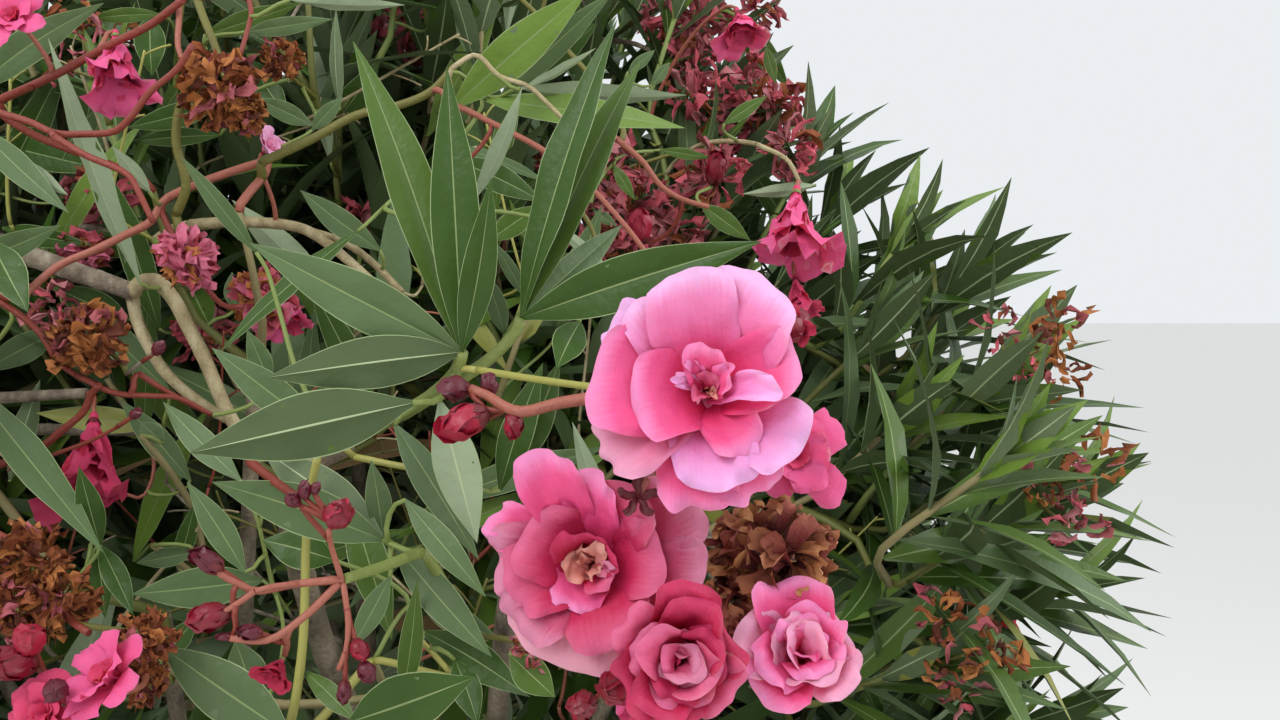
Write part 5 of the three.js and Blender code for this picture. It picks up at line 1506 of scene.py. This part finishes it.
# The leaves of the front tips: as above, and whether the lower side shows
FRONT_LEAVES = [
    (*NODE_LEFT, 250, 243, 0.472, 25, GREY, 0), (*NODE_LEFT, 353, 41, 0.512, 23, BACK_PALE, 0),
    (*NODE_LEFT, 447, 68, 0.496, 23, DARK, 0), (*NODE_LEFT, 491, 178, 0.473, 16, DARK, 0),
    (*NODE_LEFT, 265, 378, 0.449, 24, BACK_DARK, 1), LONE_LEAF,
    (*NODE_RIGHT, 762, 241, 0.472, 25, DARK, 0), (*NODE_RIGHT, 617, 20, 0.507, 17, DARK, 0),
    (*NODE_RIGHT, 641, 60, 0.527, 20, MID, 0), (*NODE_RIGHT, 622, 225, 0.543, 15, GREY, 0),
]

# Listed leaves: least width of a leaf for its length, arch and fold
SLENDER = 0.16
SEEN_ARCH = 0.03
SEEN_FOLD = 0.16


def placed_leaf(row, fold=SEEN_FOLD):
    """A leaf by its pixels. Where it shows narrower than it is, it is turned on its long axis."""
    root, tip = seen(*row[:3]), seen(*row[3:6])
    apparent, look, *lower_shows = row[6:]
    lower_shows = lower_shows[0] if lower_shows else look >= FIRST_BACK
    length = norm(tip - root)
    real = max(apparent / 1000, min(LEAF_WIDTH, SLENDER * length))
    roll = math.acos(min(1, apparent / 1000 / real))
    along = (tip - root) / length
    toward = CAMERA_AT - (root + tip) / 2
    face = unit(toward - along * (toward @ along))
    side = np.cross(along, face)
    rising = -1 if (side[2] > 0) == lower_shows else 1
    facing = face * math.cos(roll) + side * math.sin(roll) * rising
    luck = chance(row[0], row[4])
    arch = SEEN_ARCH * (0.4 + luck)
    if lower_shows:
        facing, arch = -facing, -arch
    upper = look if look < FIRST_BACK else MID
    lower = look if look >= FIRST_BACK else BACK_MID
    return root, tip, facing, real, arch, fold, 0.5 * (luck - 0.5), upper, lower


# A stalk that starts this near to wood needs no other one to carry it
STALKS_TOUCH = 0.006
# How much thicker the stalk that carries another one is at its foot
THICKER = 1.15
FRONT_FOLD = 0.30
# The calyx of a dropped flower: pixels and depths of its stalk, length and width of its points
STAR_STALK = ((638, 497, 0.364), (646, 482, 0.376), (668, 440, 0.390), (700, 392, 0.382))
STAR_LENGTH = 0.0078
STAR_WIDTH = 0.0050
STAR_STALK_RADIUS = 0.0013
# Radii of the shoot of the two front tips and of its branch, at both ends
TIP_STALK = (0.0042, 0.0030)
TIP_BRANCH = (0.0034, 0.0026)
# Radii of the stalks that carry what is listed
FLOWER_STALK = 0.0012
BUD_STALK = 0.0010
LEAF_STALK = 0.0010
LONE_LEAF_STALK = 0.0013
FORK_RADIUS = 0.0007
# Dry stalks and leaves behind the seen ones: how many, over which pixels, and how deep
BACK_SPAN = (-20, 820, -20, 740)
BACK_STALKS = 54
BACK_STALK_LOOKS = (S_TAN, S_YELLOW, S_PINK, S_TAN, S_OLIVE, S_RED, S_WOOD)
BACK_STALK_DEPTH = 0.70
BACK_LEAVES = 70
BACK_LEAF_DEPTH = 0.74
BACK_LEAF_LOOKS = (MID, GREY, YOUNG, BACK_MID, DARK, BACK_PALE)
BACK_REACH = 0.14
# None of them ends to the right and up from this pixel, where the crown's outline is near
BACK_CLEAR = (610, 270)


def behind(count, seed, depth):
    """Places behind the seen shoots: a number, a pixel and depth, and those of its tip."""
    for number in range(count):
        a, b, c, d = (chance(number + 0.4, seed + k) for k in range(4))
        px, py = lerp(BACK_SPAN[0], BACK_SPAN[1], a), lerp(BACK_SPAN[2], BACK_SPAN[3], b)
        at = depth + BACK_REACH * c
        if in_deep_corner(px, py):
            at += BACK_REACH
        turn = 2.6 * (d - 0.5)
        reach = lerp(120, 190, chance(seed, number + 0.1))
        tip_px, tip_py = px + reach * math.sin(turn), py - reach * math.cos(turn)
        if tip_px <= BACK_CLEAR[0] or tip_py >= BACK_CLEAR[1]:
            yield number, (px, py, at, tip_px, tip_py, at - 0.02)


def back_leaves():
    return [
        (*place, 14 + 9 * chance(number, 43.5), BACK_LEAF_LOOKS[number % len(BACK_LEAF_LOOKS)])
        for number, place in behind(BACK_LEAVES, 41, BACK_LEAF_DEPTH)
    ]


def add_back_stalks():
    """Dry flower stalks with their bare forks, behind the seen shoots."""
    for number, place in behind(BACK_STALKS, 17, BACK_STALK_DEPTH):
        foot, tip = seen(*place[:3]), seen(*place[3:])
        look = BACK_STALK_LOOKS[number % len(BACK_STALK_LOOKS)]
        thin = lerp(0.0009, 0.0018, chance(number, 19.5))
        way = unit(tip - foot)
        set_out = unit(way + 0.5 * RIGHT * (chance(number, 20.5) - 0.5))
        line = curve(foot, set_out, tip, way, 5, BOUGH_STEP)
        join(foot, way, thin, look, thicker=THICKER)
        tube(stalks, line, taper(line, thin, 0.7 * thin), 6, look)
        for k, share in enumerate((0.55, 0.78, 0.97)):
            at, along = along_line(line, share)
            aside = unit(np.cross(along, (chance(number, 21.5 + k) - 0.5, 1, 0.4)))
            out = along * 0.8 + aside * (1 if k % 2 else -1)
            end = at + out * lerp(0.008, 0.020, chance(number, 23.5 + k))
            fork = smooth([at, (at + end) / 2 + along * 0.001, end], 0.006)
            tube(stalks, fork, np.full(len(fork), FORK_RADIUS), TWIG_SIDES, look)


def add_front_tips():
    """The two leafy tips in the photograph's middle, on their forked shoot."""
    first, second = seen(*NODE_LEFT), seen(*NODE_RIGHT)
    aim = unit(FRONT_TIP - FRONT_FOOT)
    line = curve(FRONT_FOOT, aim, first, unit((0.3, -0.5, 0.8)), 6, STEP)
    tube(stalks, line, taper(line, *TIP_STALK), BOUGH_SIDES, S_GREEN)
    start, way = along_line(line, 0.62)
    other = curve(start, way, second, unit((0.3, -0.2, 0.8)), 5, STEP)
    tube(stalks, other, taper(other, *TIP_BRANCH), BOUGH_SIDES, S_GREEN)
    for points in (line, other):
        add_wood(points, (0.3, 0.6, 0.9))


def add_seen_stalks():
    for look, thickness, near, far, *pixels in SEEN_STALKS:
        pixels = np.reshape(pixels, (-1, 2))
        depths = np.linspace(near, far, len(pixels))
        points = [seen(px, py, depth) for (px, py), depth in zip(pixels, depths)]
        radius = thickness / 2 * near / FOCAL_PIXELS
        join(points[0], points[1] - points[0], radius, look, thicker=THICKER, touching=STALKS_TOUCH)
        line = smooth(points, STALK_STEP)
        relief = scarred((pixels @ (1, 3)).sum() % 97, 0.05, 0.024)
        tube(stalks, line, radius * np.linspace(1.05, 0.85, len(line)), 10, look, relief)
        add_wood(line, np.linspace(0.04, 1, 9))


def add_seen_flowers():
    for number, (kind, px, py, depth, size, axis, *shade) in enumerate(SEEN_FLOWERS):
        radius = size * depth / FOCAL_PIXELS
        foot = add_flower(kind, seen(px, py, depth), axis, radius, 300 + number, True, *shade)
        join(foot, axis, FLOWER_STALK, S_OLIVE if kind in ("spent", "wine") else S_PINK)
    for px, py, depth, size, long, way, look in SEEN_BUDS:
        scale = depth / FOCAL_PIXELS
        way = unit(way)
        foot = seen(px, py, depth) - way * long * scale / 2
        add_bud(foot, way, size * scale, long * scale, look, True)
        join(foot, way, BUD_STALK, S_RED)
    stem = smooth([seen(*row) for row in STAR_STALK], STALK_STEP)
    points = even_ring(5, 90, STAR_LENGTH, STAR_WIDTH, 58, 80, 1.4, 0.06, 30, 0.06, CALYX_DARK)
    add_petals(buds, CLOSE_PETAL, stem[0], -AHEAD, points)
    tube(stalks, stem, np.full(len(stem), STAR_STALK_RADIUS), 8, S_RED)


def add_front_leaves():
    front = Heap("leaves_front", "leaves", LEAF_LOOKS, ["foliage_front"])
    leaves = [placed_leaf(row) for row in SEEN_LEAVES + back_leaves()]
    for root, tip, *_ in leaves:
        join(root, tip - root, LEAF_STALK, GREEN, twigs)
    add_leaves(front, CLOSE_LEAF, leaves)
    add_leaves(front, FINE_LEAF, [placed_leaf(row, FRONT_FOLD) for row in FRONT_LEAVES])
    root, tip = seen(*LONE_LEAF[:3]), seen(*LONE_LEAF[3:6])
    join(root, tip - root, LONE_LEAF_STALK, S_GREEN)
    front_heaps.append(front)


add_front_tips()
add_seen_stalks()
add_seen_flowers()
add_back_stalks()
add_front_leaves()

# Pot, soil, floor and light
POT_HEIGHT = 0.380
POT_FOOT_RADIUS = 0.158
POT_TOP_RADIUS = 0.212
POT_RIM_HEIGHT = 0.058
POT_RIM_PROUD = 0.013
POT_WALL = 0.017
POT_FLOOR = 0.022
POT_SIDES = 128
FOOT_RECESS = 0.003
FOOT_BAND = 0.008
FOOT_SLOPE = 0.004
CORNER_RADIUS = 0.004
CORNER_STEPS = 4
SOIL_FOOT = POT_FLOOR + 0.0005
SOIL_OFF_WALL = 0.0008
SOIL_BELOW_RIM = 0.034
SOIL_MOUND = 0.008
SOIL_RINGS = 34
SOIL_SIDES = 96
CHIPS = 1000
CHIPS_OFF_WALL = 0.012


def lathe(heap, outline, sides, rough=0.0):
    """A closed turned body. Its outline of radius and height starts and ends on the axis."""
    outline = np.array(outline)
    radius, height = outline[:, 0], outline[:, 1]
    turns = 2 * math.pi * np.arange(sides) / sides
    wobble = 1 + rough * np.sin(3 * turns[None] + 9 * height[:, None]) * (radius[:, None] > 0)
    x = radius[:, None] * np.cos(turns) * wobble
    y = radius[:, None] * np.sin(turns) * wobble
    z = np.broadcast_to(height[:, None], x.shape)
    points = np.stack([x, y, z], -1)[1:-1].reshape(-1, 3)
    ends = np.array([[0, 0, height[0]], [0, 0, height[-1]]])
    rings = len(outline) - 2
    c = np.arange(sides)
    after = (c + 1) % sides
    last = (rings - 1) * sides
    fans = np.stack([np.full(sides, rings * sides), after, c], 1)
    lids = np.stack([np.full(sides, rings * sides + 1), last + c, last + after], 1)
    covers = [(wall_faces(rings, sides), 0), (np.concatenate([fans, lids]), 0)]
    heap.add(np.concatenate([points, ends])[None], np.zeros((1, 1, 3)), covers)


def rounded_outline(outline):
    """The outline with each sharp corner turned in a small arc."""
    made = [outline[0]]
    for before, corner, after in zip(outline, outline[1:], outline[2:]):
        before, corner, after = (np.array(p) for p in (before, corner, after))
        room = min(0.45 * norm(corner - p) for p in (before, after))
        reach = min(CORNER_RADIUS, room)
        start = corner + unit(before - corner) * reach
        end = corner + unit(after - corner) * reach
        for t in np.linspace(0, 1, CORNER_STEPS):
            made.append((1 - t) ** 2 * start + 2 * t * (1 - t) * corner + t * t * end)
    return made + [outline[-1]]


def outer_at(z):
    return POT_FOOT_RADIUS + (POT_TOP_RADIUS - POT_FOOT_RADIUS) / POT_HEIGHT * z


def make_pot():
    band = POT_HEIGHT - POT_RIM_HEIGHT
    top = outer_at(POT_HEIGHT)
    outline = [
        (0, FOOT_RECESS), (POT_FOOT_RADIUS - FOOT_BAND - FOOT_SLOPE, FOOT_RECESS),
        (POT_FOOT_RADIUS - FOOT_BAND, 0), (POT_FOOT_RADIUS, 0),
        (outer_at(band - 0.003), band - 0.003),
        (outer_at(band) + POT_RIM_PROUD - 0.002, band + 0.002),
        (outer_at(band) + POT_RIM_PROUD, band + 0.008),
        (top + POT_RIM_PROUD, POT_HEIGHT - 0.005), (top + POT_RIM_PROUD - 0.005, POT_HEIGHT),
        (top - POT_WALL + 0.004, POT_HEIGHT), (top - POT_WALL, POT_HEIGHT - 0.004),
        (outer_at(POT_FLOOR) - POT_WALL, POT_FLOOR), (0, POT_FLOOR),
    ]
    clay = ("9c5a3a", "b26b48", "c07f5c", "cfa086")
    clay = mottled("terracotta", clay, 0.85, 7, 260, 0.0010, (1, 1, 1.6))
    pot = Heap("pot_clay", "pot", [clay], ["pot"])
    lathe(pot, rounded_outline(outline), POT_SIDES)
    pot.build()


def soil_height(level, share):
    """How high the soil's mound is at a share of its radius."""
    return level + SOIL_MOUND * math.cos(share * math.pi / 2)


def make_soil():
    earth = Heap("soil", "soil", [
        mottled("earth", ("2a1d14", "3f2d20", "594331"), 0.95, 60, 420, 0.004),
        *plains([("chip_dark", "4a3322", 0.9, 0.002), ("chip_light", "7d6044", 0.9, 0.002),
                 ("grit", "a89c88", 0.9, 0.001)], scale=300),
    ], ["potting_soil"])
    level = POT_HEIGHT - SOIL_BELOW_RIM
    inside = outer_at(level) - POT_WALL - SOIL_OFF_WALL
    foot = outer_at(SOIL_FOOT) - POT_WALL - SOIL_OFF_WALL
    mound = [(r * inside, soil_height(level, r)) for r in np.linspace(0.96, 0.02, SOIL_RINGS)]
    mound = [(r, z + 0.0012 * math.sin(r * 900)) for r, z in mound]
    outline = [(0, SOIL_FOOT), (foot, SOIL_FOOT), (inside, level), *mound, (0, level + SOIL_MOUND)]
    lathe(earth, outline, SOIL_SIDES, 0.004)
    corners = np.array([(x, y, z) for z in (-1, 1) for y in (-1, 1) for x in (-1, 1)], float)
    box = np.array([
        (0, 2, 3, 1), (4, 5, 7, 6), (0, 1, 5, 4), (2, 6, 7, 3), (0, 4, 6, 2), (1, 3, 7, 5),
    ])
    for i in range(CHIPS):
        a, b, c, d, e = (chance(i, 200 + k) for k in range(5))
        out = math.sqrt(a) * (inside - CHIPS_OFF_WALL)
        turn = 2 * math.pi * b
        at = np.array((out * math.cos(turn), out * math.sin(turn), 0))
        at[2] = soil_height(level, out / inside)
        size = np.array((0.0025 + 0.008 * c**2, 0.002 + 0.004 * c * d, 0.0012 + 0.0018 * e))
        spin = 6.3 * d
        first = unit((math.cos(spin), math.sin(spin), 0.5 * (e - 0.5)))
        second = unit(np.cross((0.3 * (c - 0.5), 0.3 * (b - 0.5), 1), first))
        uneven = corners * (0.75 + 0.5 * chance(np.arange(24).reshape(8, 3), i))
        chip = at + (uneven * size) @ np.array([first, second, np.cross(first, second)])
        earth.add(chip[None], np.zeros((1, 1, 3)), [(box, 1 + int(2.99 * e**1.5))])
    piece = earth.build()
    for polygon in piece.data.polygons:
        polygon.use_smooth = polygon.material_index == 0


make_pot()
make_soil()
for heap in (stem_bark, bark, twigs, stalks, petals, spent_petals, buds):
    heap.build()
for heap in (*leaf_heaps.values(), *front_heaps):
    heap.build()

FLOOR_HALF = 60
SKY_COLOUR = (0.90, 0.93, 0.96, 1)
SKY_STRENGTH = 0.92
# Lights: name, place, what it looks at, size in metres, power in watts
LIGHTS = [
    ("key", (-1.2, -2.6, 3.4), (0, 0, 1.0), 2.4, 64),
    ("fill", (2.6, -0.6, 2.2), (0, 0, 0.9), 2.0, 30),
]

corners = [(x * FLOOR_HALF, y * FLOOR_HALF, 0) for x, y in ((-1, -1), (1, -1), (1, 1), (-1, 1))]
floor_mesh = bpy.data.meshes.new("floor")
floor_mesh.from_pydata(corners, [], [(0, 1, 2, 3)])
floor_mesh.materials.append(plain("floor_paint", "efeeea", 0.9, 0.001, scale=12))
floor = add_object("floor", floor_mesh)

world = bpy.data.worlds.new("studio")
world.use_nodes = True
sky = world.node_tree.nodes["Background"]
sky.inputs["Color"].default_value = SKY_COLOUR
sky.inputs["Strength"].default_value = SKY_STRENGTH
bpy.context.scene.world = world

for name, at, look_at, size, power in LIGHTS:
    light = bpy.data.lights.new(name, "AREA")
    light.shape = "DISK"
    light.size = size
    light.energy = power
    lamp = add_object(name, light)
    lamp.location = at
    aim = Vector(look_at) - Vector(at)
    lamp.rotation_euler = aim.to_track_quat("-Z", "Y").to_euler()

lens = bpy.data.cameras.new("camera")
lens.sensor_width = SENSOR_WIDTH
lens.lens = FOCAL_PIXELS * SENSOR_WIDTH / PHOTO_WIDTH
lens.clip_start = NEAREST_SEEN
camera = add_object("camera", lens)
camera.location = CAMERA_AT
camera.rotation_euler = (math.pi / 2 + CAMERA_PITCH, 0, 0)
bpy.context.scene.camera = camera
bpy.context.scene.view_settings.view_transform = "Standard"
